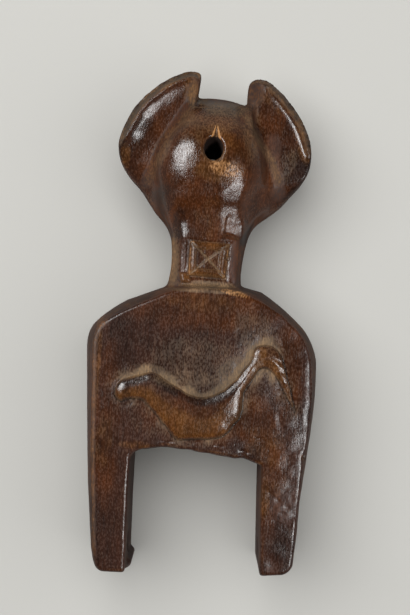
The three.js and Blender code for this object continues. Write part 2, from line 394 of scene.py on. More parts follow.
# %% The neck
# A waist is how fast the side curves away and the place along the neck where it is narrowest.
NECK_LEFT_X = -10.85
NECK_RIGHT_X = 11.7
NECK_MIDDLE_X = 0.5
NECK_BACK_Z = 33.6
NECK_FRONT_Z = 8.0
NECK_LOW_Y = 4
NECK_HIGH_Y = 33
LEFT_WAIST = (0.0115, 22.5)
RIGHT_WAIST = (0.011, 17)


def plane(x, y, z, point, facing):
    """How far a point lies in front of a plane through a point, facing a direction."""
    facing = np.array(facing, float)
    facing /= np.linalg.norm(facing)
    return (x - point[0]) * facing[0] + (y - point[1]) * facing[1] + (z - point[2]) * facing[2]


def neck(x, y, z):
    """The waisted neck: flat sides and a flat back, with the corners cut off."""
    left = -x + NECK_LEFT_X - LEFT_WAIST[0] * (y - LEFT_WAIST[1]) ** 2
    right = x - NECK_RIGHT_X - RIGHT_WAIST[0] * (y - RIGHT_WAIST[1]) ** 2
    back = z - NECK_BACK_Z - 0.004 * (np.minimum(y, 27) - 20) ** 2 + 0.25 * np.maximum(y - 27.5, 0)
    shape = soft_max(left, right, 1)
    shape = soft_max(shape, back, 0.8)
    shape = soft_max(shape, plane(x, y, z, (-7.7, 20, NECK_BACK_Z), (-0.75, 0, 0.66)), 0.7)
    shape = soft_max(shape, plane(x, y, z, (10.2, 20, NECK_BACK_Z - 0.1), (0.85, 0, 0.5)), 0.7)
    shape = soft_max(shape, NECK_FRONT_Z - z, 1.5)
    for side in (-1, 1):
        corner = plane(x, y, z, (NECK_MIDDLE_X + side * 8, 20, NECK_FRONT_Z), (side, 0, -1))
        shape = soft_max(shape, corner, 1)
    return soft_max(soft_max(shape, NECK_LOW_Y - y, 2), y - NECK_HIGH_Y, 2)


print("the neck is about", round(NECK_RIGHT_X - NECK_LEFT_X, 1), "mm wide at its waist")

# %% [markdown]
# ## The amulet
# A square packet hangs at the nape, raised a little from the flat of the neck. It has a sloping frame
# and a lower middle, and two grooves were scored from corner to corner. It is a height that lifts the
# back of the neck, not a box set on it, so its foot flows into the wood as a carved one does.

# %% The amulet's outlines and sizes
AMULET = outline((-5.5, 26.6), (7.7, 26.1), (6.8, 14.5), (-5.6, 15.1))
AMULET_MIDDLE = outline((-3.1, 24.0), (4.6, 23.7), (4.3, 17.4), (-2.9, 17.5))
AMULET_STEP = 1.0
AMULET_EASE = 0.45
AMULET_BEVEL = 0.27
MIDDLE_SINK = 0.65
GROOVE_DEPTH = 0.3
TAB_PLACE = (-6.3, 14.4)
CHIP_PLACE = (7.2, 21.2)
AMULET_GROOVES = [
    outline((-5.3, 26.4), (0.8, 20.7), (6.6, 14.7)),
    outline((7.5, 25.9), (0.8, 20.7), (-5.4, 15.3)),
]
amulet_width, amulet_length = np.ptp(AMULET, axis=0)
print("the amulet is", round(float(amulet_width), 1), "by", round(float(amulet_length), 1), "mm")


# %% The amulet
def from_tab(x, y):
    """How far a place lies from the middle of the small square tab at the amulet's lower left."""
    across = np.abs(x - TAB_PLACE[0] + 0.3 * (y - 14.5))
    return np.maximum(across, np.abs(y - TAB_PLACE[1]))


def amulet_height(x, y):
    """How far the amulet stands above the neck's flat."""
    away = line_distance(AMULET, x, y, closed=True)
    middle = line_distance(AMULET_MIDDLE, x, y, closed=True)
    inside = np.maximum(-away, 0)
    plateau = AMULET_STEP * (1 - np.exp(-inside / AMULET_EASE)) + AMULET_BEVEL * np.minimum(inside, 1.7)
    ditch = -0.5 * np.exp(-np.maximum(away, 0) / 0.6)
    sunk = MIDDLE_SINK * fade(0.25, -0.25, middle)
    scored = 0.0
    for groove in AMULET_GROOVES:
        scored = np.maximum(scored, GROOVE_DEPTH * fade(0.4, 0.05, line_distance(groove, x, y)))
    tab = fade(1.7, 1.15, from_tab(x, y))
    line = 0.22 * fade(0.5, 0.1, np.abs(x + 7.3 + 0.02 * (y - 20))) * fade(6.5, 5, np.abs(y - 21.5))
    chip = 0.7 * fade(1.0, 0.4, np.hypot((x - CHIP_PLACE[0]) / 1.4, y - CHIP_PLACE[1]))
    return plateau + ditch - (sunk + scored + chip) * fade(0.6, -0.2, away) + tab - line


def neck_with_amulet(x, y, z):
    """The neck, its back lifted by the amulet's height."""
    lift = amulet_height(x, y) * fade(24, 30, z)
    return neck(x, y, z - lift)


print("the amulet's frame stands", round(float(amulet_height(-4.2, 22.0)), 2), "mm above the neck")

# %% [markdown]
# ## The head
# Seen from behind, the head is a smooth bulb that swells out of the neck, with a dished ear at each
# side. The bulb is an oval section whose width and depth change along the length. A subdivided box
# could be pulled into this shape, but stations can be measured, and changed one at a time.

# %% The bulb's sizes
HEAD_X = 1.0
RIDGE_X = -0.4
HEAD_Z = 21.5
BULB_WIDTH = smooth_curve(
    [(18, 10.0), (24, 11.1), (28, 11.9), (32, 13.6), (36, 16.2), (42, 18.4), (50, 18.6), (56, 17.8),
     (61, 15.8), (66, 13), (71, 9.8), (75, 6.2), (78, 1)]
)
BULB_DEPTH = smooth_curve(
    [(18, 11.3), (28, 12.05), (33, 12.95), (36, 13.4), (38, 13.9), (40, 14.65), (42, 15.12),
     (44, 15.42), (46, 15.7), (48, 15.95), (50, 16.17), (52, 16.32), (54, 16.36), (56, 16.28),
     (58, 16.0), (60, 15.5), (62, 14.8), (64, 13.7), (66, 12.2), (70, 8.8), (74, 4), (77, 1)], 1.8
)
FRONT_SHARE = 0.78
BULB_LOW_Y = 18
BULB_HIGH_Y = 73.4


def bulb_width(x, y):
    """Half the bulb's width, which is less on the left than on the right."""
    lean = np.where(x > RIDGE_X, 1.1, -1.1 - 1.8 * fade(55, 64, y))
    return np.maximum(BULB_WIDTH(y) + lean, 1)


def bulb_top(x, y, squareness):
    """The height of the bulb's back over a place, before its facets are cut."""
    width = bulb_width(x, y)
    across = np.minimum(np.abs((x - RIDGE_X) / width) ** squareness, 0.98)
    return HEAD_Z + np.maximum(BULB_DEPTH(y), 1) * (1 - across) ** (1 / squareness)


print("the bulb is widest at", round(2 * float(BULB_WIDTH(48)), 1), "mm and reaches",
      round(HEAD_Z + float(BULB_DEPTH(53)), 1), "mm above the table")

# %% [markdown]
# ## Flats on the bulb
# The bulb wasn't turned but cut, so broad flats remain: one along the right of the nape, one on each
# flank and one on the left shoulder. A flat is a plane that touches the round section, and a soft
# maximum trims the wood that lies outside it. Towards the crown the flats run out.

# %% The bulb
NAPE_X = 4.9
NAPE_FALL = 0.23
FLANK_FALL = 0.95
LEFT_FLANK_X = -7.6
LEFT_FLANK_FALL = 0.62
SHOULDER_X = -9
SHOULDER_Z = 37.7
SHOULDER_FALL = 0.41


def bulb(x, y, z):
    """The head's round wood, with its flats."""
    width = bulb_width(x, y)
    depth = np.maximum(BULB_DEPTH(y), 1)
    half_depth = np.where(z > HEAD_Z, depth, depth * FRONT_SHARE)
    left_shoulder = fade(-1, -6, x) * fade(42, 49, y) * fade(69, 61, y)
    squareness = 2.85 + 1.3 * fade(44, 29, y) + 1.2 * left_shoulder
    across = np.abs((x - RIDGE_X) / width) ** squareness
    deep = np.abs((z - HEAD_Z) / half_depth) ** squareness
    reach = (across + deep) ** (1 / squareness)
    section = (reach - 1) * np.minimum(width, half_depth)
    no_facets = 2 * fade(40, 54, y)
    flank_x = 10.3 + 2.2 * fade(36, 50, y)
    nape_cut = z - bulb_top(NAPE_X, y, squareness) + NAPE_FALL * (x - NAPE_X)
    flank_top = bulb_top(NAPE_X, y, squareness) - NAPE_FALL * (flank_x - NAPE_X)
    flank_cut = z - flank_top + FLANK_FALL * (x - flank_x)
    section = soft_max(section, nape_cut / math.hypot(1, NAPE_FALL) - no_facets, 0.35)
    section = soft_max(section, flank_cut / math.hypot(1, FLANK_FALL) - no_facets, 0.8)
    left_top = bulb_top(LEFT_FLANK_X, y, squareness)
    left_cut = (z - left_top - LEFT_FLANK_FALL * (x - LEFT_FLANK_X)) / math.hypot(1, LEFT_FLANK_FALL)
    section = soft_max(section, left_cut - 2.5 * fade(32, 39, y), 0.8)
    shoulder_cut = z - SHOULDER_Z - SHOULDER_FALL * (x - SHOULDER_X)
    section = soft_max(section, shoulder_cut, 3.0)
    section = soft_max(section, BULB_LOW_Y - y, 2)
    return soft_max(section, y - BULB_HIGH_Y + 0.05 * np.maximum(x, 0), 3)


middle_of_head = np.array([[HEAD_X], [48.0], [HEAD_Z]])
print("the bulb's middle lies", round(-float(bulb(*middle_of_head)[0]), 1), "mm inside the wood")

# %% [markdown]
# ## Nape and crown
# Above the amulet one flat cut crosses the nape and ends in a small lip, where the knife was stopped.
# Between the ears the wood slopes from the bulb down to the face.

# %% Nape and crown
NAPE_CUT_PLACE = (5.2, 33)
NAPE_CUT_Z = 34.2
CROWN_X = 2.6
CROWN_HALF_WIDTH = 10.4
CROWN_END_Y = 74.25
CROWN_TOP = smooth_curve(
    [(50, 35.5), (58, 35.0), (62, 34.2), (65, 33.2), (67.5, 31.6), (70, 29.4), (72.5, 26.8),
     (74.5, 24), (76, 21)], 2
)


def nape_facet(x, y, z):
    """One flat knife cut on the right of the nape, which ends in a small lip above the amulet."""
    cut_x, cut_y = NAPE_CUT_PLACE
    cut = z - NAPE_CUT_Z + 0.22 * (x - cut_x) - 0.115 * (y - cut_y)
    cut = cut + 0.08 * slow_waves(x, y, 0, 3, seed=12)
    lip = 2.5 * fade(29.4, 26.4, y + 0.2 * (x - 7))
    left_border = 1.2 * fade(6.4, 4.4, x - 0.12 * (y - cut_y))
    run_out = 1.0 * fade(34.5, 37.5, y) + 3.0 * fade(38, 45, y)
    return cut - run_out - lip - left_border


def crown(x, y, z):
    """The wood between the ears, sloping from the bulb down to the face."""
    top = z - CROWN_TOP(y) + 0.006 * (x - 2.5) ** 2
    end = y - CROWN_END_Y + 0.018 * (x + 1) ** 2
    sides = np.abs(x - CROWN_X) - CROWN_HALF_WIDTH
    block = soft_max(soft_max(soft_max(top * 0.7, end, 1.5), sides, 1), 14 - z, 2)
    return soft_max(block, 54 - y, 2)


print("the crown falls from", round(float(CROWN_TOP(62)), 1), "to", round(float(CROWN_TOP(73)), 1), "mm")

# %% [markdown]
# ## The ears
# Each ear is a thick plate with a raised rim: outside the rim's crest it drops steeply, and inside it
# curves into a dish. The notch between the ears has a border of its own. The two ears differ in
# outline and in how steeply the dish falls, because they were carved by eye, so both use one function
# with sizes of their own. Mirroring one ear would look wrong at once.

# %% The outlines of the ears
LEFT_RIM = outline(
    (-11.5, 27), (-12.4, 29, -16.2, 34.1), (-18.7, 37.9), (-21.5, 41.6), (-25, 45.4),
    (-29.9, 51.4, -29.8, 56.9), (-29.6, 61.2, -25.5, 68.9), (-22.1, 73), (-17.4, 77.1),
    (-13.9, 79.3), (-9.8, 81.1), (-6.2, 82.1, -5.1, 80.9),
)
LEFT_NOTCH = outline((-5.1, 80.9), (-5.4, 77.7), (-5.8, 73.8), (-6.4, 71.1), (-7.4, 68), (-9, 64.5))
RIGHT_RIM = outline(
    (12.4, 27), (13.4, 29.6, 15.9, 31.8), (20.6, 35.9), (24.6, 40.1), (28, 44.2),
    (32.5, 50, 32.3, 56.1), (32.2, 60, 30.6, 63.9), (28.8, 67.7), (26.1, 71.6), (22.8, 75.6),
    (18.4, 79.5), (15, 81.4, 12.6, 79.7), (11.9, 78.9, 11.9, 77.6),
)
RIGHT_NOTCH = outline((11.9, 77.6), (11.7, 74), (11.5, 67.5), (11.4, 64))
LEFT_EAR = np.vstack([LEFT_RIM, LEFT_NOTCH[1:], outline((-2, 56), (-2, 30))])
RIGHT_EAR = np.vstack([RIGHT_RIM, RIGHT_NOTCH[1:], outline((3, 56), (3, 30))])
print("the ears span", round(float(RIGHT_RIM[:, 0].max() - LEFT_RIM[:, 0].min()), 1), "mm")

# %% Rims and dishes
EAR_CREST_Z = 30.6
EAR_UNDER_Z = 18.5
RIM_STEEPNESS = 1.5
DISH_DEPTH = 1.75
DISH_TILT = 0.06
FLANK_Z = 24.2
FLANK_SLOPE = 0.62
NOTCH_RISE = 0.5
NOTCH_REACH = 1.4


def bowl(inside, depth, reach):
    """How far a dish has fallen below its rim: steeply at first and then ever more gently."""
    return depth * (1 - np.exp(-np.maximum(inside, 0) / reach))


print("a dish is", round(float(bowl(2.0, DISH_DEPTH, 1.0)), 2), "mm deep at 2 mm from its crest")


# %% One ear
def ear(x, y, z, whole, rim, notch, crest_at, rim_reach, notch_crest, notch_slope, fall, pull_in,
        dish_full):
    """One ear. Its crest lies crest_at inside the rim, and rim_reach is how soon the dish is deep."""
    away_rim = line_distance(rim, x, y)
    away_notch = line_distance(notch, x, y)
    # The lower part of an ear is a plain flank, and the dish fades in above it.
    upper = fade(34, dish_full, y)
    crest_z = EAR_CREST_Z - 2.5 * (1 - upper) - fall * np.maximum(y - 54, 0)
    wall = fade(55, 60, y)
    from_rim = 1 - wall * (1 - bowl(away_rim - crest_at, 1.0, rim_reach))
    notch_side = 1 - bowl(away_notch - notch_crest, 1.0, NOTCH_REACH)
    from_notch = 1 - NOTCH_RISE * fade(60, 74, y) * notch_side
    dish = crest_z - DISH_DEPTH * from_rim * from_notch - DISH_TILT * np.minimum(away_rim, 9)
    dished = soft_min(dish, crest_z - RIM_STEEPNESS * (crest_at - away_rim), 0.3)
    notch_edge = crest_z - 0.4 - notch_slope * (notch_crest - away_notch) + 6 * fade(66, 60, y)
    dished = soft_min(dished, notch_edge, 0.4)
    flank = FLANK_Z - 4 * fade(40, 27, y) + FLANK_SLOPE * away_rim
    top = upper * dished + (1 - upper) * np.minimum(flank, 31)
    side = line_distance(whole, x, y, closed=True) - 0.6 * fade(42, 52, y) + pull_in * fade(40, 32, y)
    plate = soft_max(side, z - top, 0.9)
    return soft_max(plate, EAR_UNDER_Z - z, 3)


print("an ear lies between", EAR_UNDER_Z, "and", EAR_CREST_Z, "mm above the table")


# %% Left and right ear
def left_ear(x, y, z):
    """The left ear, whose dish falls away gently from its rim."""
    crest_at = 1.1 + 0.8 * fade(54, 66, y)
    rim_reach = 0.65 + 1.8 * fade(55, 62, y)
    return ear(x, y, z, LEFT_EAR, LEFT_RIM, LEFT_NOTCH, crest_at, rim_reach,
               notch_crest=0.5, notch_slope=0.8, fall=0, pull_in=0.9, dish_full=60)


def right_ear(x, y, z):
    """The right ear, whose dish falls steeply and whose crest sinks towards the top."""
    crest_at = 1.0 + 0.2 * fade(54, 70, y)
    rim_reach = 0.3 + 0.3 * fade(55, 62, y)
    notch_crest = 1.0 + 3.0 * fade(66, 78, y)
    return ear(x, y, z, RIGHT_EAR, RIGHT_RIM, RIGHT_NOTCH, crest_at, rim_reach,
               notch_crest, notch_slope=0.5, fall=0.13, pull_in=1.9, dish_full=50)


in_an_ear = np.array([[-22.0], [60.0], [24.0]])
print("the left ear's middle lies", round(-float(left_ear(*in_an_ear)[0]), 1), "mm inside the wood")

# %% [markdown]
# ## The hidden face
# The front lies on the table. It gets a plain animal face in keeping with the back: a blunt muzzle
# whose flat end carries the head, a mouth line and two low round eyes. It is kept simple, because
# nothing of it is seen from above.

# %% The hidden face
MUZZLE_Y = 41.0
MUZZLE_RADIUS = 7.4
MOUTH_DEPTH = 4.3
EYE_PLACE = (8.6, 56, 13.6)
EYE_RADIUS = 3.2


def face(x, y, z):
    """The muzzle that the head rests on, with its mouth line and the two eyes."""
    radius = MUZZLE_RADIUS + 4.6 * z / 18
    around = np.hypot(x - HEAD_X, (y - MUZZLE_Y) / 1.1)
    muzzle = soft_max(soft_max((around - radius) * 0.95, -z, 1.6), z - 20, 2)
    mouth = soft_max(np.abs(y - MUZZLE_Y + 4) - 0.6, z - MOUTH_DEPTH, 0.6)
    muzzle = soft_max(muzzle, -mouth, 0.5)
    eye_x, eye_y, eye_z = EYE_PLACE
    for side in (-1, 1):
        from_eye = (x - HEAD_X - side * eye_x) ** 2 + (y - eye_y) ** 2 + (z - eye_z) ** 2
        muzzle = np.minimum(muzzle, np.sqrt(from_eye) - EYE_RADIUS)
    return muzzle


print("the muzzle's end is", 2 * MUZZLE_RADIUS, "mm wide, with eyes of", 2 * EYE_RADIUS, "mm")

# %% [markdown]
# ## The cord hole
# The hanging cord went through the head at a slight slant. Its rim is worn round, and the cord has
# pulled a short pointed notch into the upper edge, down to lighter wood. Both are cut with one soft
# maximum, so the rounding of the rim runs on into the notch.

# %% The cord hole
HOLE_X = 0.85
HOLE_Y = 56.2
HOLE_LEAN = 0.16
HOLE_BACK_Z = 37
HOLE_HALF_WIDTH = 3.1
HOLE_HALF_LENGTH = 3.85
NOTCH_X = 1.35
NOTCH_END_Y = 64.2


def hole_middle_y(z):
    """Where the hole's middle lies at a height, because the hole leans."""
    return HOLE_Y + HOLE_LEAN * (z - HOLE_BACK_Z)


def beside_notch(x, y):
    """How far a place lies to the side of the notch's middle line."""
    return np.abs(x - NOTCH_X - 0.03 * (y - 60))


def cord_hole(x, y, z):
    """The leaning hole together with the notch that the cord wore."""
    away = np.hypot((x - HOLE_X) / HOLE_HALF_WIDTH, (y - hole_middle_y(z)) / HOLE_HALF_LENGTH)
    bore = (away - 1) * 3.4
    half_width = 0.9 * np.clip((63.6 - y) / 4.2, 0, 1)
    floor_z = 32.6 + 0.75 * (y - 60)
    across = beside_notch(x, y)
    notch = soft_max(across - half_width - 0.5 * np.minimum(z - 36.3, 0), floor_z - z, 0.4)
    notch = np.maximum(notch, y - NOTCH_END_Y)
    notch = np.maximum(notch, HOLE_Y - y)
    return soft_min(bore, notch, 0.5)


print("the hole is", 2 * HOLE_HALF_WIDTH, "by", 2 * HOLE_HALF_LENGTH, "mm")

# %% [markdown]
# ## The whole carving
# All the forms are one block of wood, so they are joined with wide fillets where the real ones flow
# into each other, and the cord's hole is cut last. The head's shape doesn't matter near the feet, nor
# the body's near the ears, so the function can leave out the one that is far away to save time.

# %% The whole carving
def head(x, y, z):
    """Bulb, ears, crown and face in one."""
    ears = np.minimum(left_ear(x, y, z), right_ear(x, y, z))
    ease = 1.8 + 2.7 * fade(50, 42, y) * fade(28, 36, y)
    made = soft_min(bulb(x, y, z), ears, ease)
    made = soft_min(made, crown(x, y, z), 1.5)
    return soft_min(made, face(x, y, z), 2.5)


def carving(x, y, z, with_body=True, with_head=True):
    """The whole pulley, in the frame's millimetres. A part far from the points can be left out."""
    x = x + DRAWING_MIDDLE[0]
    y = y + DRAWING_MIDDLE[1]
    made = neck_with_amulet(x, y, z)
    if not with_head:
        return soft_min(made, stirrup(x, y, z), 1.6)
    made = soft_min(made, head(x, y, z), 2.5)
    made = soft_max(made, nape_facet(x, y, z), 0.3)
    if with_body:
        made = soft_min(made, stirrup(x, y, z), 1.6)
    return soft_max(made, -cord_hole(x, y, z), 1.1)


in_the_hole = np.array([[HOLE_X], [HOLE_Y], [30.0]]) - np.append(DRAWING_MIDDLE, 0)[:, None]
print("in the cord hole the wood is", round(float(carving(*in_the_hole)[0]), 1), "mm away")

# %% [markdown]
# ## From field to mesh
# The field is sampled on a coarse grid, and OpenVDB, which comes with Blender, lays a skin over it.
# The skin is then refined where the carving is fine, and every point is slid along the field's slope
# until it lies on the true surface. A finer grid everywhere would waste triangles on the plain sides.

# %% Lay a skin over the field
GRID_STEP = 1.0
FIELD_LIMIT = 3.0
grid_low = np.array([-41.0, -85.0, -3.0])
grid_high = np.array([41.0, 85.0, 42.5])
axes = [np.arange(low, high, GRID_STEP) for low, high in zip(grid_low, grid_high)]
samples = carving(axes[0][:, None, None], axes[1][None, :, None], axes[2][None, None, :])
grid = openvdb.FloatGrid(FIELD_LIMIT)
grid.copyFromArray(np.clip(samples, -FIELD_LIMIT, FIELD_LIMIT).astype(np.float32))
skin_points, skin_triangles, skin_quads = grid.convertToPolygons(isovalue=0.0)
points = skin_points.astype(float) * GRID_STEP + grid_low
quads = skin_quads.astype(int)[:, ::-1]
triangles = np.vstack([quads[:, [0, 1, 2]], quads[:, [0, 2, 3]]])
print(len(points), "points in the first skin,", len(skin_triangles), "loose triangles")

# %% [markdown]
# ## Sliding the points home
# The skin's points lie near the surface, but not on it. The field says how far off each one is and its
# slope says which way to go, so a few short steps bring them home. A remesh or a smoothing modifier
# could only guess where the surface is.

# %% Slide points onto the surface
BODY_ONLY_Y = 15
HEAD_ONLY_Y = 24


def depth_at(place):
    """The field at each point, worked out only from the parts that are near it."""
    value = np.zeros(len(place))
    low = place[:, 1] < BODY_ONLY_Y
    high = place[:, 1] > HEAD_ONLY_Y
    cases = ((low, True, False), (high, False, True), (~low & ~high, True, True))
    for chosen, with_body, with_head in cases:
        value[chosen] = carving(*place[chosen].T, with_body, with_head)
    return value


def slope(place, reach=0.05):
    """The field's value and its slope at each point."""
    here = depth_at(place)
    steps = [depth_at(place + reach * axis) for axis in np.eye(3)]
    return here, (np.stack(steps, axis=1) - here[:, None]) / reach


def settle(place, rounds=2, most=0.8):
    """Moves points along the slope until they lie on the surface."""
    for _ in range(rounds):
        value, rise = slope(place)
        steepness = np.maximum((rise * rise).sum(axis=1), 0.04)
        move = -rise * (value / steepness)[:, None]
        size = np.linalg.norm(move, axis=1, keepdims=True)
        place = place + move * np.minimum(1, most / np.maximum(size, 1e-9))
    return place


rough_points = points
points = settle(rough_points)
slid_by = np.linalg.norm(points - rough_points, axis=1)
print("the points slid by up to", round(float(slid_by.max()), 2), "mm")

# %% [markdown]
# ## Refining where the carving is fine
# An edge that is longer than its place can do with gets a point in its middle, and each triangle is
# cut to suit. Then the points are evened out and slid home again. The plain sides keep long edges, the
# back gets shorter ones, and the bird's outline, the amulet and the cord's notch get the shortest. A
# Subdivision Surface modifier would split everything alike.

# %% Split the long edges
def split_long_edges(place, faces, wanted):
    """Splits every edge that is longer than wanted there, and cuts the triangles to suit."""
    edges = np.sort(np.vstack([faces[:, [0, 1]], faces[:, [1, 2]], faces[:, [2, 0]]]), axis=1)
    unique, which = np.unique(edges, axis=0, return_inverse=True)
    which = which.reshape(3, -1).T
    ends = place[unique]
    middle = ends.mean(axis=1)
    length = np.linalg.norm(ends[:, 0] - ends[:, 1], axis=1)
    split = length > wanted(middle)
    fresh = np.full(len(unique), -1)
    fresh[split] = len(place) + np.arange(split.sum())
    cut = fresh[which]
    made = []
    a, b, c = faces.T
    ab, bc, ca = cut.T
    count = (cut >= 0).sum(axis=1)
    made.append(faces[count == 0])
    whole = count == 3
    for corners in ((a, ab, ca), (b, bc, ab), (c, ca, bc), (ab, bc, ca)):
        made.append(np.stack(corners, axis=1)[whole])
    for turn in range(3):
        p, q, r = np.roll(faces, -turn, axis=1).T
        pq, qr, rp = np.roll(cut, -turn, axis=1).T
        one = (count == 1) & (pq >= 0)
        made.append(np.stack((p, pq, r), axis=1)[one])
        made.append(np.stack((pq, q, r), axis=1)[one])
        two = (count == 2) & (rp < 0)
        made.append(np.stack((pq, q, qr), axis=1)[two])
        made.append(np.stack((p, pq, qr), axis=1)[two])
        made.append(np.stack((p, qr, r), axis=1)[two])
    return np.vstack([place, middle[split]]), np.vstack(made)


one_triangle = np.array([[0, 1, 2]])
quarters = split_long_edges(np.eye(3), one_triangle, lambda middle: np.zeros(len(middle)))[1]
print("a triangle with three long edges becomes", len(quarters), "triangles")


# %% Even out the triangles
def relax(place, faces, strength=0.5):
    """Evens out the triangles by drawing each point towards the middle of its neighbours."""
    here = faces[:, [0, 1, 2, 1, 2, 0]].ravel()
    there = faces[:, [1, 2, 0, 0, 1, 2]].ravel()
    number = np.bincount(here, minlength=len(place))
    total = [np.bincount(here, place[there, axis], len(place)) for axis in range(3)]
    return place + strength * (np.stack(total, axis=1) / number[:, None] - place)


pyramid = np.array([[0, 1, 2], [0, 2, 3], [0, 3, 1], [1, 3, 2]])
evened = relax(np.vstack([np.zeros(3), np.eye(3)]), pyramid)
print("a pyramid's tip sinks by", round(float(np.linalg.norm(evened[0])), 2), "of its edge")

# %% How fine each place should be
LONGEST_EDGE = 1.52
BACK_SHORTER = 0.755
FINE_SHORTER = 0.3
FINEST_SHORTER = 0.13


def wanted_length(place):
    """The longest edge that each place can do with."""
    x, y, z = place.T
    on_back = fade(24, 30, z)
    length = LONGEST_EDGE - BACK_SHORTER * on_back
    crisp = fade(0.5, 1.5, 9 - np.hypot((x - 1) * 0.9, y - 20))
    near_bird = fade(3.2, 1.8, np.abs(line_distance(BIRD, x, y, closed=True))) * fade(34, 36, z)
    near_hole = fade(1.5, 0.5, np.hypot(x - 1, y - 57.5) - 6.5)
    near_notch = fade(0.5, -0.5, np.hypot((x - 1.4) / 2.2, (y - 61) / 3.4) - 1)
    fine = np.maximum(np.maximum(crisp, near_bird), near_hole) * on_back
    near_amulet = fade(1.8, 0.8, line_distance(AMULET, x, y, closed=True)) * fade(31, 32, z)
    finest = np.maximum(near_notch, near_amulet) * on_back
    return length - FINE_SHORTER * fine - FINEST_SHORTER * finest


two_places = np.array([[-36.0, -40.0, 10.0], [7.6, 20.0, 34.0]])
on_side, at_amulet = wanted_length(two_places).round(2)
print("edges may be", on_side, "mm long on the side and", at_amulet, "mm at the amulet's edge")

# %% Refine in three rounds
for _ in range(3):
    points, triangles = split_long_edges(points, triangles, wanted_length)
    points = settle(relax(points, triangles), rounds=1)
points = settle(points)
print(len(triangles), "triangles after refining")

# %% [markdown]
# ## Making the mesh
# The points and triangles become a Blender mesh. Whole arrays are handed over at once, because a loop
# over so many points is slow. The faces are shaded smooth, and the carving's creases still show, as
# they are there as geometry.

# %% Make the mesh
mesh = bpy.data.meshes.new("carved_pulley")
mesh.vertices.add(len(points))
mesh.vertices.foreach_set("co", (points * MM).astype(np.float32).ravel())
mesh.loops.add(3 * len(triangles))
mesh.loops.foreach_set("vertex_index", triangles.astype(np.int32).ravel())
mesh.polygons.add(len(triangles))
mesh.polygons.foreach_set("loop_start", np.arange(0, 3 * len(triangles), 3, dtype=np.int32))
mesh.update(calc_edges=True)
mesh.validate()
mesh.shade_smooth()
pulley = bpy.data.objects.new("carved_pulley", mesh)
bpy.context.scene.collection.objects.link(pulley)
print(pulley.name, "has", len(mesh.vertices), "points and", len(mesh.polygons), "faces")

# %% [markdown]
# ## Where the wood is worn, dusty or bare
# Hands polish and lighten what stands out, and dust stays in what lies deep. Both can be read from
# the distance field: a little way out of a hollow the nearest wood is closer than it should be, and
# a little way into an edge the air is. Blender's own pointiness sees no further than the next point of
# the mesh and would miss a broad hollow. All of it is kept as attributes for the material to use.

# %% Read hollows and edges from the field
rise = slope(points)[1]
steepness = np.maximum(np.linalg.norm(rise, axis=1), 0.3)
outward = rise / steepness[:, None]


def hollowness(reach):
    """How hollow the wood is around each point, felt from that far outside it."""
    return np.clip(1 - depth_at(points + reach * outward) / (reach * steepness), 0, 1)


def sharpness(reach):
    """How sharp an edge each point lies on, felt from that far inside it."""
    return np.clip(1 + depth_at(points - reach * outward) / (reach * steepness), 0, 1)


deep = np.maximum(0.9 * fade(0.12, 0.6, hollowness(1.5)), fade(0.12, 0.6, hollowness(4.0)))
edge = fade(0.15, 0.6, sharpness(1.2))
deep_share, edge_share = (round(100 * float(np.mean(amount > 0.5))) for amount in (deep, edge))
print(deep_share, "% of the points lie deep and", edge_share, "% are on an edge")

# %% Each point's place on the drawing
px = points[:, 0] + DRAWING_MIDDLE[0]
py = points[:, 1] + DRAWING_MIDDLE[1]
pz = points[:, 2]
on_back = fade(22, 29, pz)
on_plate = fade(35, 36.5, pz)
steep = fade(0.7, 0.35, outward[:, 2])
print(round(100 * float(np.mean(on_back > 0.5))), "% of the points are on the carved back")

# %% [markdown]
# ## Patches that the shape doesn't explain
# Where a hand rested, where dust fell and where the patina is thick can't be read from the shape, and
# a few patches are painted shade and painted highlight. These patches are painted as soft ovals,
# listed row by row, so that one can be moved without touching the others. A painted picture would do
# it too, but the wood would have to be unwrapped for it first.

# %% Soft ovals
def oval(x, y, middle, reach, turn=0.0):
    """1 in the middle of a soft oval patch and 0 outside it."""
    c, s = math.cos(math.radians(turn)), math.sin(math.radians(turn))
    across = (x - middle[0]) * c + (y - middle[1]) * s
    along = (y - middle[1]) * c - (x - middle[0]) * s
    return fade(1.35, 0.55, np.hypot(across / reach[0], along / reach[1]))


def patches(x, y, spots):
    """The strongest of several ovals, each given as (x, y, reach x, reach y, turn, strength)."""
    total = np.zeros(len(x))
    for cx, cy, rx, ry, turn, strength in spots:
        total = np.maximum(total, strength * oval(x, y, (cx, cy), (rx, ry), turn))
    return total


def strongest(*amounts):
    """The strongest of several marks at each point."""
    return np.maximum.reduce(amounts)


print("half of a patch's reach away from its middle the mark is", float(oval(1.0, 0.0, (0, 0), (2, 2))))

# %% Worn and bare spots
WORN_SPOTS = [
    (1, 57, 11, 9, 0, 0.6), (3, 49.5, 9, 4.5, 0, 0.95), (10, 58, 6, 8, 0, 0.55),
    (1, 6.5, 14, 3.5, 0, 0.6),
    (-31.5, -41, 4, 7, 0, 0.55), (22.8, -55, 1.8, 8, 0, 0.8), (-7.5, 76, 3, 5, 0, 0.95),
    (-28, 53, 2, 6, 0, 0.7), (19, 74.5, 9, 2.4, -42, 0.95), (28.5, 63, 2.2, 8, 18, 0.7),
    (14, 75, 3, 4, 0, 0.8), (-29.5, -38, 3, 10, 0, 0.55), (-19, -40, 7, 1.6, 0, 0.6),
    (29.5, 61, 2.2, 9, 14, 0.85), (30, 3, 7, 2.2, -48, 0.75), (-20, 62, 5, 8, 30, 0.25),
    (2, 34, 8, 9, 0, 0.42), (-33, -5, 1.5, 30, 0, 0.75), (22, -38, 8, 8, 0, 0.55),
    (26, -48, 5, 8, 0, 0.45), (19, -9, 2.6, 2.8, 0, 1.1), (-10.8, 19, 2, 9, 0, 0.95),
    (11.5, 19, 2, 8, 0, 0.4),
]
